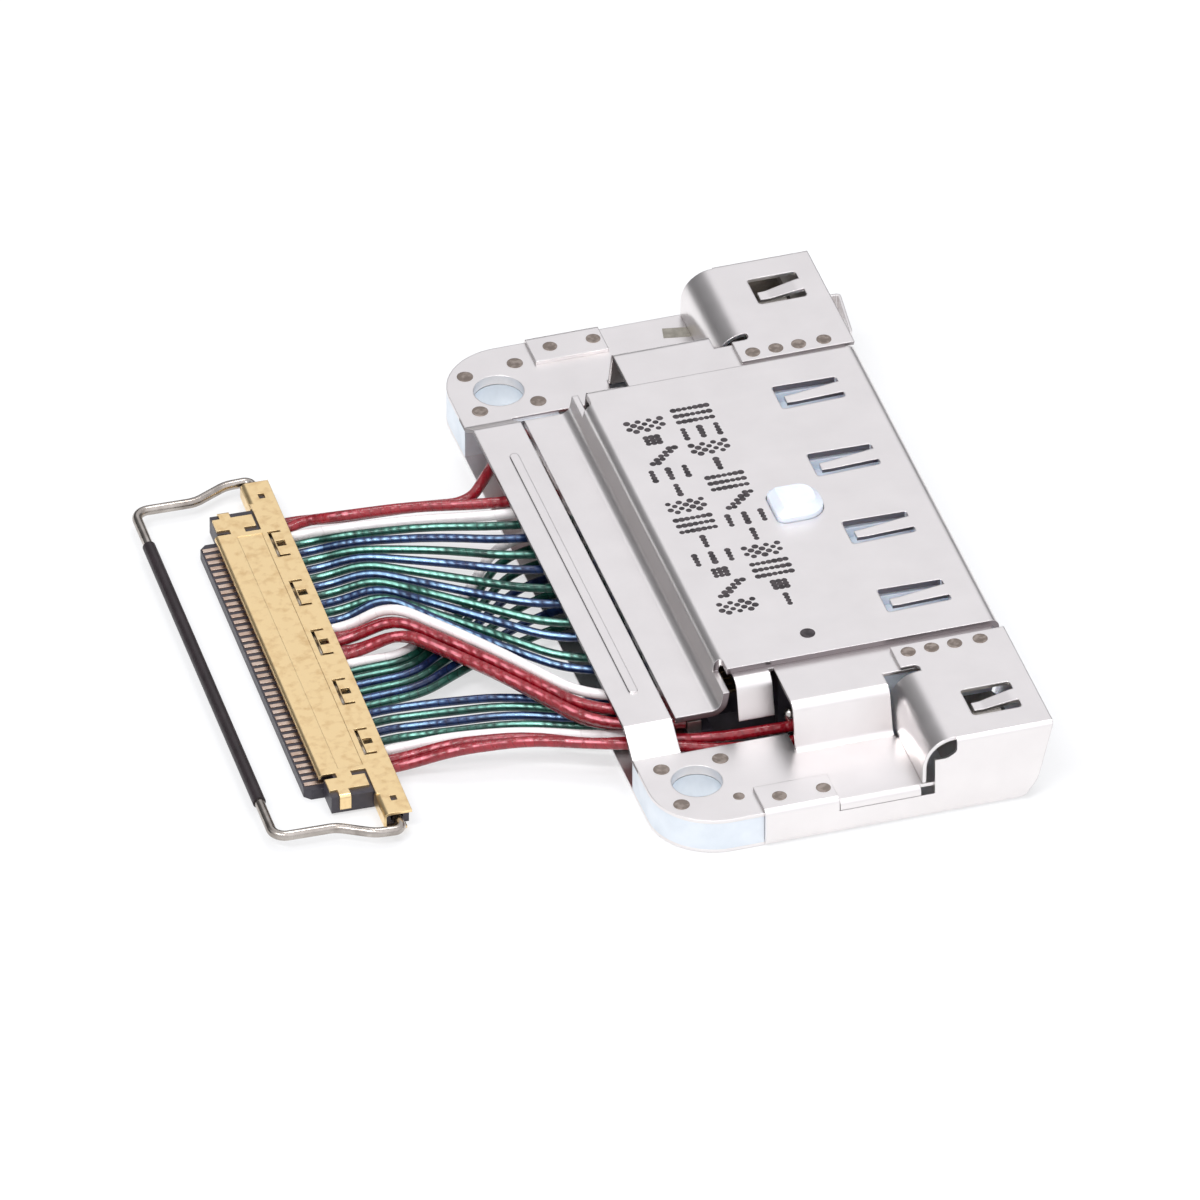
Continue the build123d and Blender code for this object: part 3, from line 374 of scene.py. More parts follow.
@dataclass(frozen=True)
class ServedJacket(Finish):
    """A clear or coloured jacket over twisted or served wires.

    The served wires raise a skewed wave along the lead instead of a grain, and the jacket has
    painted shade in the wave's narrow troughs. A painted highlight lies along the lead's crown,
    where the normal faces a set direction, in broken bright glints. The lay is the length of one
    wave in millimetres. A slow noise lifts the wave on the crown, so that the painted glints join
    here and there.
    """

    lay: float = 0.34
    skew: float = 0.4
    tilt: float = 0.3
    unevenness: float = 2.5
    lump_share: float = 0.5
    # Painted shade: the wave's level below which the jacket darkens toward its second colour.
    trough_shade: float = 0.06
    crown: tuple[float, float, float] = (-0.39, -0.48, 0.78)
    crown_edge: tuple[float, float] = (0.9, 0.985)
    # Colour of the painted highlight along the crown.
    painted_glint_colour: str = "#FFFFFF"
    crown_run: float = 2.2
    run_levels: tuple[float, float] = (0.35, 0.62)
    run_lift: tuple[float, float] = (-0.3, 0.8)
    dash: float = 0.5

    def surface(self, tree: bpy.types.NodeTree, place: bpy.types.NodeSocket) -> bpy.types.NodeSocket:
        """Winds the served wires round the lead.

        Args:
            tree: The material's nodes.
            place: The object coordinates.

        Returns:
            The normal's socket.
        """
        wave = self.wave(tree, place)
        lumps = add_node(
            tree,
            "ShaderNodeTexNoise",
            {"Vector": place, "Scale": repeats(self.lay * self.lump_share), "Detail": 2.0},
        )
        height = add_node(
            tree, "ShaderNodeMath", {0: wave, 1: lumps.outputs["Fac"]}, operation="MULTIPLY"
        )
        bump = add_node(
            tree,
            "ShaderNodeBump",
            {"Height": height.outputs["Value"], "Distance": self.relief * MM, "Strength": 1.0},
        )
        return bump.outputs["Normal"]

    def paint(self, tree: bpy.types.NodeTree, place: bpy.types.NodeSocket) -> bpy.types.NodeSocket:
        """Paints shade into the jacket in the troughs between the wires, and paints the highlight
        glints on the crown.

        Args:
            tree: The material's nodes.
            place: The object coordinates.

        Returns:
            The colour's socket.
        """
        # Painted shade in the wave's troughs.
        share = add_node(
            tree,
            "ShaderNodeMapRange",
            {
                "Value": self.wave(tree, place),
                "From Min": 0.0,
                "From Max": self.trough_shade,
                "To Min": 1.0,
                "To Max": 0.0,
            },
        )
        plain = super().paint(tree, place)
        jacket = self.mix(tree, share.outputs["Result"], plain, self.second_colour)
        # Painted highlight: the glint colour laid over the jacket along the crown.
        return self.mix(tree, self.painted_glints(tree, place), jacket, self.painted_glint_colour)

    def painted_glints(self, tree: bpy.types.NodeTree, place: bpy.types.NodeSocket) -> bpy.types.NodeSocket:
        """Finds where the painted highlight lies: on the crown, in dashes that join here and there.

        Args:
            tree: The material's nodes.
            place: The object coordinates.

        Returns:
            The share of the painted highlight's colour.
        """
        normal = add_node(tree, "ShaderNodeNewGeometry").outputs["Normal"]
        facing = add_node(
            tree,
            "ShaderNodeVectorMath",
            {0: normal, 1: Vector(self.crown).normalized()},
            operation="DOT_PRODUCT",
        )
        band = add_node(
            tree,
            "ShaderNodeMapRange",
            {
                "Value": facing.outputs["Value"],
                "From Min": self.crown_edge[0],
                "From Max": self.crown_edge[1],
            },
            interpolation_type="SMOOTHSTEP",
        )
        slow = add_node(
            tree,
            "ShaderNodeTexNoise",
            {"Vector": place, "Scale": repeats(self.crown_run), "Detail": 1.0},
        )
        lift = add_node(
            tree,
            "ShaderNodeMapRange",
            {
                "Value": slow.outputs["Fac"],
                "From Min": self.run_levels[0],
                "From Max": self.run_levels[1],
                "To Min": self.run_lift[0],
                "To Max": self.run_lift[1],
            },
        )
        raised = add_node(
            tree,
            "ShaderNodeMath",
            {0: self.wave(tree, place), 1: self.dash, 2: lift.outputs["Result"]},
            operation="MULTIPLY_ADD",
        )
        dash = add_node(
            tree,
            "ShaderNodeMapRange",
            {"Value": raised.outputs["Value"], "From Min": 0.0, "From Max": 1.0},
            interpolation_type="SMOOTHSTEP",
        )
        both = add_node(
            tree,
            "ShaderNodeMath",
            {0: band.outputs["Result"], 1: dash.outputs["Result"]},
            operation="MULTIPLY",
        )
        return both.outputs["Value"]

    def wave(self, tree: bpy.types.NodeTree, place: bpy.types.NodeSocket) -> bpy.types.NodeSocket:
        """Makes the lay of the wires, as a wave along the lead.

        Args:
            tree: The material's nodes.
            place: The object coordinates.

        Returns:
            The wave's socket, from 0 in a trough to 1.
        """
        turned = add_node(
            tree,
            "ShaderNodeMapping",
            {"Vector": place, "Rotation": (self.tilt, self.skew, self.skew)},
        )
        wave = add_node(
            tree,
            "ShaderNodeTexWave",
            {
                "Vector": turned.outputs["Vector"],
                "Scale": repeats(self.lay) * math.pi / 10,
                "Distortion": self.unevenness,
                "Detail": 2.0,
                "Detail Scale": 2.0,
            },
            wave_type="BANDS",
            bands_direction="X",
        )
        return wave.outputs["Fac"]


# Stainless sheet, cold rolled and stamped: a satin, faintly warm grey, drawn out along the
# port by the rolls.
STAINLESS = SheetSteel(
    name="stamped_stainless_steel",
    colour="#F4F0EF",
    second_colour="#EEEAE9",
    roughness=0.33,
    metallic=1.0,
    mottle_size=1.8,
    mottle_share=(0.3, 0.75),
    gloss_spread=0.01,
    grain=(0.05, 0.5, 0.05),
    relief=0.0012,
    edge_round=0.06,
)

# Green tinted fluoropolymer jacket over a served copper screen: deep and glassy, with a painted
# highlight in bright glints along its crown.
GREEN_JACKET = ServedJacket(
    name="green_coax_jacket",
    colour="#1A5547",
    second_colour="#0E332C",
    roughness=0.34,
    metallic=0.4,
    coat=0.4,
    coat_roughness=0.12,
    painted_glint_colour="#97DDCB",
    mottle_size=0.5,
    relief=0.022,
)

FINISHES: dict[Slot, Finish] = {
    Slot.STAMPED_STEEL: STAINLESS,
    # Zinc casting, blasted and nickel plated: a pale, cool, fine matt metal.
    Slot.CAST_BLOCK: Finish(
        name="cast_nickel_plated_zinc",
        colour="#EDF3F9",
        second_colour="#E2E9F0",
        roughness=0.42,
        metallic=1.0,
        grain=(0.08, 0.08, 0.08),
        relief=0.003,
    ),
    # Sintered magnet under nickel: a mirror that is a little wavy.
    Slot.MAGNET_PLATE: Finish(
        name="nickel_plated_magnet",
        colour="#BDB9B2",
        second_colour="#A9A59E",
        roughness=0.2,
        metallic=1.0,
        grain=(0.3, 0.3, 0.3),
        relief=0.002,
    ),
    # Tin plated copper alloy: soft bright grey with a frosted bloom.
    Slot.TINNED_METAL: Finish(
        name="tin_plated_copper",
        colour="#CFCCC8",
        second_colour="#AFABA6",
        roughness=0.34,
        metallic=1.0,
        mottle_size=0.5,
        grain=(0.05, 0.05, 0.05),
        relief=0.002,
    ),
    # Spring wire, bright drawn: grey brown, with draw lines along the bar.
    Slot.WIRE_STEEL: Finish(
        name="drawn_spring_wire",
        colour="#C2BBB4",
        second_colour="#958D86",
        roughness=0.24,
        metallic=1.0,
        mottle_size=0.7,
        grain=(0.06, 0.5, 0.06),
        relief=0.002,
        edge_round=0.0,
    ),
    # Gold flash over nickel: pale yellow, clouded where the flash is thin.
    Slot.GOLD_PLATE: Finish(
        name="gold_flashed_bronze",
        colour="#FFE2AD",
        second_colour="#E3BE88",
        roughness=0.32,
        metallic=1.0,
        mottle_size=0.35,
        mottle_share=(0.48, 0.85),
        gloss_spread=0.015,
        grain=(0.05, 0.2, 0.05),
        relief=0.0015,
    ),
    # Liquid crystal polymer, moulded, natural white: cool, slightly see-through.
    Slot.WHITE_PLASTIC: Finish(
        name="moulded_white_polymer",
        colour="#E6EDF6",
        second_colour="#DCE4EF",
        roughness=0.38,
        mottle_size=1.5,
        relief=0.002,
        subsurface=0.15,
    ),
    # Liquid crystal polymer, moulded, black: dark grey with faint flow lines.
    Slot.BLACK_PLASTIC: Finish(
        name="moulded_black_polymer",
        colour="#3C3840",
        second_colour="#2C2930",
        roughness=0.42,
        mottle_size=0.6,
        grain=(0.06, 0.4, 0.06),
        relief=0.003,
    ),
    # Shrink tube: near black, drawn into faint long wrinkles.
    Slot.BLACK_SLEEVE: Finish(
        name="shrunk_black_tube",
        colour="#1D1518",
        second_colour="#291F23",
        roughness=0.46,
        mottle_size=0.8,
        grain=(0.08, 1.2, 0.08),
        relief=0.01,
        edge_round=0.0,
    ),
    # Fluoropolymer insulation over stranded wire: deep red gloss, lumpy with the strands, with
    # painted shade in the troughs and a painted pink highlight along its crown.
    Slot.RED_INSULATION: ServedJacket(
        name="red_fluoropolymer_insulation",
        colour="#960F20",
        second_colour="#760A18",
        roughness=0.3,
        coat=0.5,
        coat_roughness=0.12,
        mottle_size=0.7,
        relief=0.05,
        lay=0.36,
        trough_shade=0.05,
        crown_edge=(0.93, 0.985),
        painted_glint_colour="#E57F8C",
        crown_run=0.55,
        dash=0.3,
    ),
    # The same insulation in white, with the same painted shade and painted highlight.
    Slot.WHITE_INSULATION: ServedJacket(
        name="white_fluoropolymer_insulation",
        colour="#F8F4F3",
        second_colour="#E9E2E2",
        roughness=0.34,
        coat=0.6,
        mottle_size=0.7,
        relief=0.012,
        lay=0.7,
        trough_shade=0.03,
    ),
    Slot.GREEN_COAX: GREEN_JACKET,
    # Blue tinted jacket over the same screen, with the same painted highlight in pale blue.
    Slot.BLUE_COAX: replace(
        GREEN_JACKET,
        name="blue_coax_jacket",
        colour="#183566",
        second_colour="#0F1B3D",
        painted_glint_colour="#9CC6EC",
    ),
}

# Solids whose place in the stamping or the plating sets them apart from their slot.
OWN_FINISHES: dict[str, Finish] = {
    # The sheared edge colours below are partly painted shade.
    "cover": replace(
        STAINLESS, name="stamped_cover_steel", sheared_shade_axis=(0.0, 1.0, 0.0), sheared_shade_colour="#857E80"
    ),
    "upper_shell": replace(
        STAINLESS, name="stamped_upper_steel", sheared_shade_axis=(1.0, 0.0, 0.0), sheared_shade_half=12.0
    ),
    "base_shell": replace(
        STAINLESS,
        name="stamped_base_steel",
        sheared_shade_axis=(0.0, 1.0, 0.0),
        sheared_shade_half=10.0,
        sheared_shade_colour="#A7A1A2",
    ),
    # Contact tails under a thinner flash: pale, a little pink from the copper below.
    "plug_contacts": Finish(
        name="flashed_contact_copper",
        colour="#E2CDBE",
        second_colour="#C9AC98",
        roughness=0.32,
        metallic=1.0,
        mottle_size=0.4,
        grain=(0.2, 0.04, 0.04),
        relief=0.001,
    ),
}

# Heat-tinted steel where a weld was struck: brown grey and dull.
WELD_SCALE = Finish(
    name="weld_scale",
    colour="#857A72",
    second_colour="#A1968E",
    roughness=0.5,
    metallic=0.85,
    mottle_size=0.25,
    mottle_share=(0.45, 0.6),
    relief=0.004,
    edge_round=0.0,
)

# A dull olive-grey sheet on the far ledge beside the wing, as painted shade: matt and a little
# creased.
LEDGE_SHADE_SHEET = Finish(
    name="painted_ledge_shade",
    colour="#928E84",
    second_colour="#757168",
    roughness=0.45,
    mottle_size=0.3,
    relief=0.01,
    edge_round=0.0,
)

# Tin solder, set with a bright skin.
TIN_SOLDER = replace(FINISHES[Slot.TINNED_METAL], name="tin_solder", roughness=0.2)

# Solvent ink, jetted as dots: near black, dry and a little brown where it is thin.
JET_INK = Finish(
    name="jetted_black_ink",
    colour="#241F22",
    second_colour="#4A4346",
    roughness=0.6,
    mottle_size=0.3,
    relief=0.002,
    edge_round=0.0,
)


class Bench:
    """Modelling steps that several pieces share."""

    @staticmethod
    def clear() -> None:
        """Deselects everything."""
        bpy.ops.object.select_all(action="DESELECT")

    @staticmethod
    def pick(piece: bpy.types.Object) -> None:
        """Selects one piece alone and makes it the active one.

        Args:
            piece: The piece.
        """
        Bench.clear()
        piece.select_set(True)
        bpy.context.view_layer.objects.active = piece

    @staticmethod
    def pick_tops(piece: bpy.types.Object) -> None:
        """Opens a piece in edit mode with only the faces that look up selected.

        Args:
            piece: The piece, in object mode.
        """
        bpy.ops.object.mode_set(mode="EDIT")
        bpy.ops.mesh.select_mode(type="FACE")
        bpy.ops.mesh.select_all(action="DESELECT")
        bpy.ops.object.mode_set(mode="OBJECT")
        for polygon in piece.data.polygons:
            polygon.select = polygon.normal.z > UPWARD
        bpy.ops.object.mode_set(mode="EDIT")

    @staticmethod
    def settle(piece: bpy.types.Object) -> None:
        """Moves a piece's place, turn and size into its mesh."""
        Bench.pick(piece)
        bpy.ops.object.transform_apply(location=True, rotation=True, scale=True)

    @staticmethod
    def join(pieces: Sequence[bpy.types.Object], name: str) -> bpy.types.Object:
        """Joins several pieces into one.

        Args:
            pieces: The pieces, of which the first one stays.
            name: The joined piece's name.

        Returns:
            The joined piece.
        """
        Bench.pick(pieces[0])
        for piece in pieces:
            piece.select_set(True)
        bpy.ops.object.join()
        pieces[0].name = name
        pieces[0].data.name = name
        return pieces[0]

    @staticmethod
    def copies(
        model: bpy.types.Object, places: Sequence[tuple[float, float, float, float]], name: str
    ) -> bpy.types.Object:
        """Sets copies of a small model at many places and joins them into one piece.

        Args:
            model: The shape, modelled at the origin, which is used up.
            places: X, Y and Z in millimetres, and the size as a share of the model.
            name: The joined piece's name.

        Returns:
            The joined piece.
        """
        made = []
        for x, y, z, share in places:
            copy = model.copy()
            copy.data = model.data.copy()
            copy.data.transform(
                Matrix.Translation((x * MM, y * MM, z * MM)) @ Matrix.Diagonal((share, share, 1, 1))
            )
            bpy.context.scene.collection.objects.link(copy)
            made.append(copy)
        bpy.data.objects.remove(model)
        return Bench.join(made, name)


@dataclass(frozen=True)
class WeldMark:
    """One spot weld: a low ring of scale round a dished middle."""

    corners: int = 20
    width: float = 0.65
    depth: float = 0.03
    sink: float = 0.003
    ring: float = 0.05
    ring_rise: float = 0.008
    dish: float = 0.09
    dish_drop: float = 0.012
    smooth_below: float = 40.0

    def model(self) -> bpy.types.Object:
        """Models the mark at the origin, on a surface at level zero.

        Returns:
            The mark.
        """
        Bench.clear()
        bpy.ops.mesh.primitive_cylinder_add(
            vertices=self.corners,
            radius=self.width / 2 * MM,
            depth=self.depth * MM,
            location=(0, 0, -self.sink * MM),
        )
        mark = bpy.context.object
        Bench.settle(mark)
        Bench.pick_tops(mark)
        bpy.ops.mesh.inset(thickness=self.ring * MM)
        bpy.ops.transform.translate(value=(0, 0, self.ring_rise * MM))
        bpy.ops.mesh.inset(thickness=self.dish * MM)
        bpy.ops.transform.translate(value=(0, 0, -self.dish_drop * MM))
        bpy.ops.object.mode_set(mode="OBJECT")
        bpy.ops.object.shade_smooth_by_angle(angle=math.radians(self.smooth_below))
        return mark


@dataclass
class Shells:
    """The stamped shells' small marks: the spot welds, the cover's round mark and a sheet of painted
    shade on the far ledge.

    A weld lies at X and Y, with its size as a share of the plain mark.
    """

    ear_top: float = 1.54
    tab_top: float = 1.69
    flange_top: float = 3.52
    cover_top: float = 3.62
    ear_spots: tuple[tuple[float, float, float], ...] = (
        (-1.10, 12.15, 1.0),
        (1.29, 12.14, 1.0),
        (-1.01, 14.51, 1.0),
    )
    end_spots: tuple[tuple[float, float, float], ...] = ((1.13, 14.8, 1.0), (1.27, -14.65, 0.7))
    tab_spots: tuple[float, float] = (2.72, 4.5)
    tab_half: float = 15.27
    tab_share: float = 0.9
    flange_spots: tuple[float, ...] = (9.52, 10.47, 11.41, 12.45)
    flange_half: float = 10.21
    flange_share: float = 0.92
    mark_place: tuple[float, float] = (6.1, -8.05)
    mark_corners: int = 24
    mark_radius: float = 0.3
    mark_depth: float = 0.02
    mark_rim: float = 0.05
    mark_dip: float = 0.006
    shade_sheet_place: tuple[float, float, float] = (7.9, 14.86, 1.545)
    shade_sheet_size: tuple[float, float, float] = (1.25, 0.62, 0.02)
    shade_sheet_turn: float = -11.0

    def build(self) -> list[bpy.types.Object]:
        """Makes the weld marks, the dark locating mark and the sheet of painted shade, and returns
        them.
        """
        return [
            self.welds(1, "weld_marks_far"),
            self.welds(-1, "weld_marks_near"),
            self.dot(),
            self.shade_sheet(),
        ]

    def shade_sheet(self) -> bpy.types.Object:
        """Lays a dull olive-grey sheet of painted shade on the far ledge, beside the wing.

        Returns:
            The sheet.
        """
        Bench.clear()
        bpy.ops.mesh.primitive_cube_add(
            size=MM,
            location=Vector(self.shade_sheet_place) * MM,
            rotation=(0, 0, math.radians(self.shade_sheet_turn)),
            scale=self.shade_sheet_size,
        )
        piece = bpy.context.object
        piece.name = "ledge_shade_sheet"
        Bench.settle(piece)
        # Painted shade: the olive-grey sheet stands in for the shade beside the wing.
        piece.data.materials.append(LEDGE_SHADE_SHEET.material())
        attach(piece, "port")
        return piece

    def welds(self, side: int, name: str) -> bpy.types.Object:
        """Sets the weld marks of one end of the port.

        Args:
            side: 1 for the far end, -1 for the near end.
            name: The piece's name.

        Returns:
            The marks as one piece.
        """
        places = [(x, y * side, self.ear_top, share) for x, y, share in self.ear_spots]
        places += [(x, y, self.ear_top, share) for x, y, share in self.end_spots if y * side > 0]
        tab_y, flange_y = self.tab_half * side, self.flange_half * side
        places += [(x, tab_y, self.tab_top, self.tab_share) for x in self.tab_spots]
        places += [(x, flange_y, self.flange_top, self.flange_share) for x in self.flange_spots]
        piece = Bench.copies(WeldMark().model(), places, name)
        piece.data.materials.append(WELD_SCALE.material())
        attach(piece, "port")
        return piece

    def dot(self) -> bpy.types.Object:
        """Makes the round dark mark near the cover's near edge.

        Returns:
            The mark.
        """
        Bench.clear()
        bpy.ops.mesh.primitive_cylinder_add(
            vertices=self.mark_corners,
            radius=self.mark_radius * MM,
            depth=self.mark_depth * MM,
            location=Vector((*self.mark_place, self.cover_top)) * MM,
        )
        piece = bpy.context.object
        piece.name = "cover_mark"
        Bench.settle(piece)
        Bench.pick_tops(piece)
        bpy.ops.mesh.inset(thickness=self.mark_rim * MM)
        bpy.ops.transform.translate(value=(0, 0, -self.mark_dip * MM))
        bpy.ops.object.mode_set(mode="OBJECT")
        piece.data.materials.append(JET_INK.material())
        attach(piece, "port")
        return piece


@dataclass
class Solder:
    """The solder beads at the near power terminal, in the open corner beside the neck.

    A bead has its middle's X, Y and Z, and its radius.
    """

    beads: tuple[tuple[float, float, float, float], ...] = (
        (4.68, -10.35, 1.62, 0.26),
        (4.74, -10.5, 0.5, 0.28),
    )
    segments: int = 20
    rings: int = 12
    flow: float = 1.2

    def build(self) -> bpy.types.Object:
        """Makes the beads, each drawn out upwards by the iron.

        Returns:
            The beads as one piece.
        """
        made = []
        for x, y, z, radius in self.beads:
            Bench.clear()
            bpy.ops.mesh.primitive_uv_sphere_add(
                segments=self.segments,
                ring_count=self.rings,
                radius=radius * MM,
                location=(x * MM, y * MM, z * MM),
                scale=(1.0, 1.0, self.flow),
            )
            Bench.settle(bpy.context.object)
            bpy.ops.object.shade_smooth()
            made.append(bpy.context.object)
        piece = Bench.join(made, "solder_beads")
        piece.data.materials.append(TIN_SOLDER.material())
        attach(piece, "port")
        return piece


class Cell(Enum):
    """Plain figures of the jetted print, as columns of dots, none of them a letter."""

    RUNGS = (0b1001001, 0b1001001, 0b1001001, 0b1001001)
    SQUARE = (0b0011100, 0b0011100, 0b0011100)
    DASH = (0b0001000, 0b0001000, 0b0001000, 0b0001000)
    CHECK = (0b1010101, 0b0101010, 0b1010101, 0b0101010)
    POSTS = (0b1111111, 0b0000000, 0b1111111, 0b0000000, 0b1111111)
    STEPS = (0b1100000, 0b0110000, 0b0011000, 0b0001100, 0b0000110)


@dataclass(frozen=True)
class PrintLine:
    """One line of figures: its rear edge in X, its start in Y and what it holds."""

    rear: float
    start: float
    figures: tuple[Cell, ...]


@dataclass
class CoverPrint:
    """Two lines of plain jetted figures in the place of the photographed print."""

    top: float = 3.62
    dot: float = 0.27
    dot_corners: int = 10
    dot_height: float = 0.008
    dot_lift: float = 0.003
    shoulder: float = 1.3
    dots_high: int = 7
    height_step: float = 0.225
    width_step: float = 0.2
    figure_gap: float = 0.3
    spread: float = 0.12
    spread_turns: tuple[float, float] = (7.3, 2.9)
    first: PrintLine = PrintLine(
        rear=5.35,
        start=7.3,
        figures=(
            Cell.POSTS,
            Cell.RUNGS,
            Cell.CHECK,
            Cell.DASH,
            Cell.POSTS,
            Cell.STEPS,
            Cell.RUNGS,
            Cell.DASH,
            Cell.CHECK,
            Cell.POSTS,
            Cell.SQUARE,
            Cell.DASH,
        ),
    )
    second: PrintLine = PrintLine(
        rear=3.35,
        start=7.0,
        figures=(
            Cell.CHECK,
            Cell.SQUARE,
            Cell.STEPS,
            Cell.RUNGS,
            Cell.DASH,
            Cell.CHECK,
            Cell.POSTS,
            Cell.DASH,
            Cell.RUNGS,
            Cell.SQUARE,
            Cell.STEPS,
            Cell.CHECK,
        ),
    )

    def build(self) -> bpy.types.Object:
        """Makes the print, one flat drop of ink for each dot.

        Returns:
            The print as one piece.
        """
        Bench.clear()
        bpy.ops.mesh.primitive_cone_add(
            vertices=self.dot_corners,
            radius1=self.dot / 2 * MM,
            radius2=self.dot / 2 / self.shoulder * MM,
            depth=self.dot_height * MM,
            location=(0, 0, self.dot_lift * MM),
        )
        drop = bpy.context.object
        Bench.settle(drop)
        piece = Bench.copies(drop, self.places(), "cover_print")
        piece.data.materials.append(JET_INK.material())
        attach(piece, "port")
        return piece

    def places(self) -> list[tuple[float, float, float, float]]:
        """Works out where each drop lies on the cover.

        Returns:
            X, Y and Z in millimetres and the drop's share of the full size.
        """
        found = []
        across, along = self.spread_turns
        for line in (self.first, self.second):
            y = line.start
            for figure in line.figures:
                for column in figure.value:
                    for row in range(self.dots_high):
                        if column >> row & 1:
                            x = line.rear + row * self.height_step
                            share = 1.0 + self.spread * math.sin(across * row + along * y)
                            found.append((x, y, self.top, share))
                    y -= self.width_step
                y -= self.figure_gap
        return found


@dataclass(frozen=True)
class Lobe:
    """A part of the tent that is brighter or darker than the rest.

    It is centred on a direction, and it starts and is full at two cosines of the angle from
    there.
    """

    toward: tuple[float, float, float]
    start: float
    full: float
    change: float

    def level(self, tree: bpy.types.NodeTree, place: bpy.types.NodeSocket) -> bpy.types.NodeSocket:
        """Works out the lobe's change of the tent's level.

        Args:
            tree: The world's nodes.
            place: The direction that is looked up.

        Returns:
            The change's socket.
        """
        facing = add_node(
            tree,
            "ShaderNodeVectorMath",
            {0: place, 1: Vector(self.toward).normalized()},
            operation="DOT_PRODUCT",
        )
        share = add_node(
            tree,
            "ShaderNodeMapRange",
            {
                "Value": facing.outputs["Value"],
                "From Min": self.start,
                "From Max": self.full,
                "To Min": 0.0,
                "To Max": self.change,
            },
            interpolation_type="SMOOTHSTEP",
        )
        return share.outputs["Result"]


@dataclass(frozen=True)
class Lamp:
    """One soft lamp, which faces the part.

    Its middle, its length along the leads and its width are millimetres, its power is watts.
    """

    name: str
    place: tuple[float, float, float]
    size: tuple[float, float]
    power: float


@dataclass
class Studio:
    """The camera, the lamps, the tent and the pale floor.

    The camera stands at an angle and a distance from a point that lies a little to the right
    and up, as the camera sees it, from the origin at the aim's level.
    """

    azimuth: float = -16.982
    elevation: float = 37.010
    distance: float = 1250.96
    aim_right: float = 0.117
    aim_up: float = -0.614
    aim_level: float = 1.54
    lens: float = 961.0
    sensor: float = 36.0
    clip: tuple[float, float] = (50.0, 20000.0)
    floor_half: float = 900.0
    floor_gap: float = 0.02
    floor_white: str = "#F4F5F7"
    floor_glow: float = 0.6
    tent_white: str = "#FBFBFF"
    tent_level: float = 0.93
    lobes: tuple[Lobe, ...] = (
        Lobe((0.15, -0.62, 0.77), 0.72, 0.95, 0.4),
        Lobe((0.23, 0.12, 0.96), 0.93, 0.99, -0.32),
        Lobe((-0.45, 0.77, 0.45), 0.86, 0.96, -0.72),
    )
    strip_low: float = -0.3
    strip_top: float = 0.36
    strip_fade: float = 0.14
    strip_side: tuple[float, float] = (0.25, 0.0)
    strip_level: float = 0.12
    lead_run: tuple[float, float, float] = (0.9, -0.43, 0.0)
    lamps: tuple[Lamp, ...] = (
        Lamp("lamp_key", (150, 210, 760), (200, 200), 1.1),
        Lamp("lamp_strip", (-360, -240, 672), (480, 60), 2.4),
    )

    def build(self) -> None:
        """Sets up the camera, the floor, the world and the lamps."""
        self.camera()
        self.floor()
        self.world()
        for lamp in self.lamps:
            self.hang(lamp)

    def camera(self) -> None:
        """Places the camera at the photograph's viewing angle."""
        turn = Euler((math.radians(90 - self.elevation), 0, math.radians(self.azimuth)))
        right, up, back = turn.to_matrix().transposed()
        place = back * self.distance + right * self.aim_right + up * self.aim_up
        place.z += self.aim_level
        data = bpy.data.cameras.new("camera")
        data.lens = self.lens
        data.sensor_width = self.sensor
        data.clip_start, data.clip_end = self.clip[0] * MM, self.clip[1] * MM
        camera = bpy.data.objects.new("camera", data)
        camera.location = place * MM
        camera.rotation_euler = turn
        bpy.context.scene.collection.objects.link(camera)
        bpy.context.scene.camera = camera

    def floor(self) -> None:
        """Lays the paper floor just under the lowest piece."""
        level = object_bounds()[0][2] - self.floor_gap * MM
        Bench.clear()
        bpy.ops.mesh.primitive_plane_add(size=2 * self.floor_half * MM, location=(0, 0, level))
        floor = bpy.context.object
        floor.name = "floor"
        Bench.settle(floor)
        floor.data.materials.append(self.paper())
        floor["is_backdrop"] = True

    def paper(self) -> bpy.types.Material:
        """Makes the white paper, which glows to the eye and in reflections but lights nothing.

        Returns:
            The new material.
        """
        made = bpy.data.materials.new("white_sweep")
        made.use_nodes = True
        tree = made.node_tree
        tree.nodes.clear()
        path = add_node(tree, "ShaderNodeLightPath")
        seen = path.outputs["Is Camera Ray"]
        for kind in ("Is Glossy Ray", "Is Transmission Ray"):
            seen = add_node(
                tree, "ShaderNodeMath", {0: seen, 1: path.outputs[kind]}, operation="MAXIMUM"
            ).outputs["Value"]
        share = add_node(
            tree, "ShaderNodeMath", {0: seen, 1: self.floor_glow}, operation="MULTIPLY"
        )
        matt = add_node(tree, "ShaderNodeBsdfDiffuse", {"Color": linear(self.floor_white)})
        glow = add_node(tree, "ShaderNodeEmission", {"Color": (1, 1, 1, 1), "Strength": 1.0})
        both = add_node(
            tree,
            "ShaderNodeMixShader",
            {0: share.outputs["Value"], 1: matt.outputs["BSDF"], 2: glow.outputs["Emission"]},
        )
        add_node(tree, "ShaderNodeOutputMaterial", {"Surface": both.outputs["Shader"]})
        return made

    def world(self) -> None:
        """Lights the tent: pale all round, with its lobes and a dark strip low behind."""
        world = bpy.data.worlds.new("tent")
        bpy.context.scene.world = world
        world.use_nodes = True
        tree = world.node_tree
        tree.nodes.clear()
        place = add_node(tree, "ShaderNodeTexCoord").outputs["Generated"]
        level: Any = self.tent_level
        for lobe in self.lobes:
            level = add_node(
                tree, "ShaderNodeMath", {0: level, 1: lobe.level(tree, place)}, operation="ADD"
            ).outputs["Value"]
        level = self.strip(tree, place, level)
        path = add_node(tree, "ShaderNodeLightPath")
        shown = add_node(
            tree,
            "ShaderNodeMath",
            {0: level, 1: path.outputs["Is Camera Ray"]},
            operation="MAXIMUM",
        )
        light = add_node(
            tree,
            "ShaderNodeBackground",
            {"Color": linear(self.tent_white), "Strength": shown.outputs["Value"]},
        )
        add_node(tree, "ShaderNodeOutputWorld", {"Surface": light.outputs["Background"]})

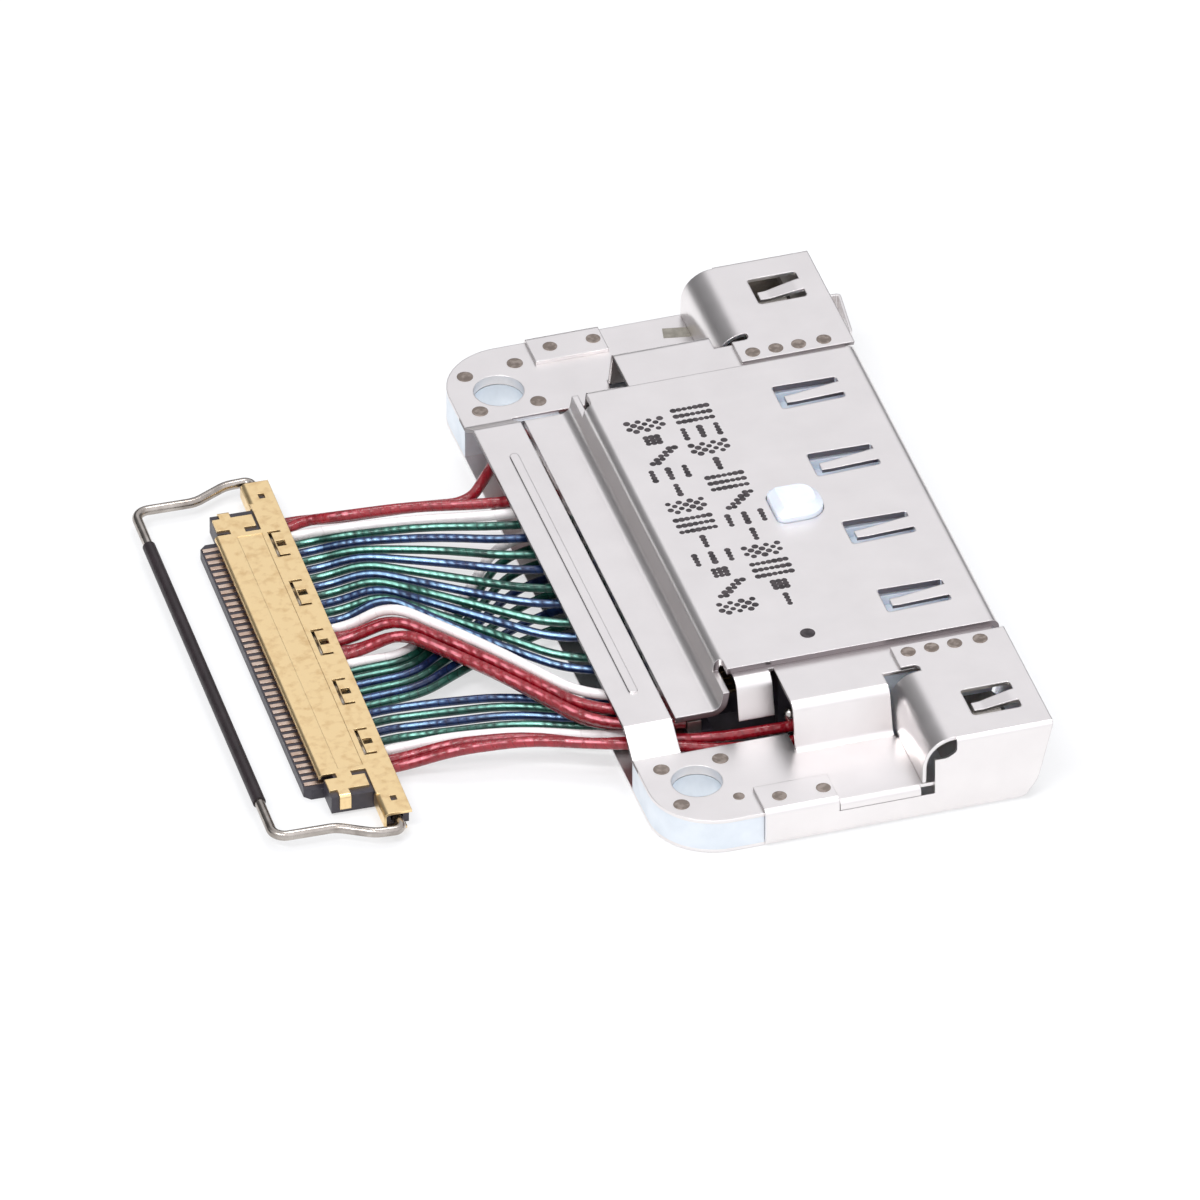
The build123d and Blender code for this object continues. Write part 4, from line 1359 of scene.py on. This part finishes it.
    def strip(
        self, tree: bpy.types.NodeTree, place: bpy.types.NodeSocket, level: bpy.types.NodeSocket
    ) -> bpy.types.NodeSocket:
        """Darkens the tent low behind the port, where the sheet's rear bends look.

        Args:
            tree: The world's nodes.
            place: The direction that is looked up.
            level: The tent's level without the strip.

        Returns:
            The level's socket with the strip.
        """
        axes = add_node(tree, "ShaderNodeSeparateXYZ", {"Vector": place})
        edges = (
            ("Z", self.strip_top, self.strip_top + self.strip_fade),
            ("Z", self.strip_low, self.strip_low - self.strip_fade),
            ("Y", *self.strip_side),
        )
        share: Any = 1.0
        for axis, dark, pale in edges:
            edge = add_node(
                tree,
                "ShaderNodeMapRange",
                {
                    "Value": axes.outputs[axis],
                    "From Min": dark,
                    "From Max": pale,
                    "To Min": 1.0,
                    "To Max": 0.0,
                },
                interpolation_type="SMOOTHSTEP",
            )
            share = add_node(
                tree, "ShaderNodeMath", {0: share, 1: edge.outputs["Result"]}, operation="MULTIPLY"
            ).outputs["Value"]
        blend = add_node(tree, "ShaderNodeMix", {0: share, 2: level, 3: self.strip_level})
        return blend.outputs[0]

    def hang(self, lamp: Lamp) -> None:
        """Hangs one lamp, facing the part and lying along the leads.

        Args:
            lamp: The lamp.
        """
        data = bpy.data.lights.new(lamp.name, "AREA")
        data.shape = "RECTANGLE"
        data.size, data.size_y = lamp.size[0] * MM, lamp.size[1] * MM
        data.energy = lamp.power
        back = Vector(lamp.place).normalized()
        across = back.cross(Vector(self.lead_run)).normalized()
        turn = Matrix((across.cross(back), across, back)).transposed()
        hung = bpy.data.objects.new(lamp.name, data)
        hung.location = Vector(lamp.place) * MM
        hung.rotation_euler = turn.to_euler()
        bpy.context.scene.collection.objects.link(hung)


def dress(frame: Mapping[str, Any]) -> None:
    """Gives every CAD solid the finish of its slot.
    """
    made = {slot: finish.material() for slot, finish in FINISHES.items()}
    own = {node: finish.material() for node, finish in OWN_FINISHES.items()}
    for row in frame["record"]["subparts"]:
        solid = frame["nodes"][row["node"]]
        material = own.get(row["node"], made[Slot(row["material_slot"])])
        if not solid.material_slots:
            solid.data.materials.append(material)
        for place in solid.material_slots:
            place.material = material
        LOG.info("dressed %s in %s", solid.name, material.name)


def main() -> None:
    """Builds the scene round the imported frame."""
    logging.basicConfig(level=logging.INFO, format="%(name)s: %(message)s")
    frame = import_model()
    bpy.context.scene.view_settings.view_transform = "Standard"
    Studio().build()
    dress(frame)
    for piece in Shells().build():
        LOG.info("built %s", piece.name)
    LOG.info("built %s", Solder().build().name)
    LOG.info("built %s", CoverPrint().build().name)


if __name__ == "__main__":
    main()
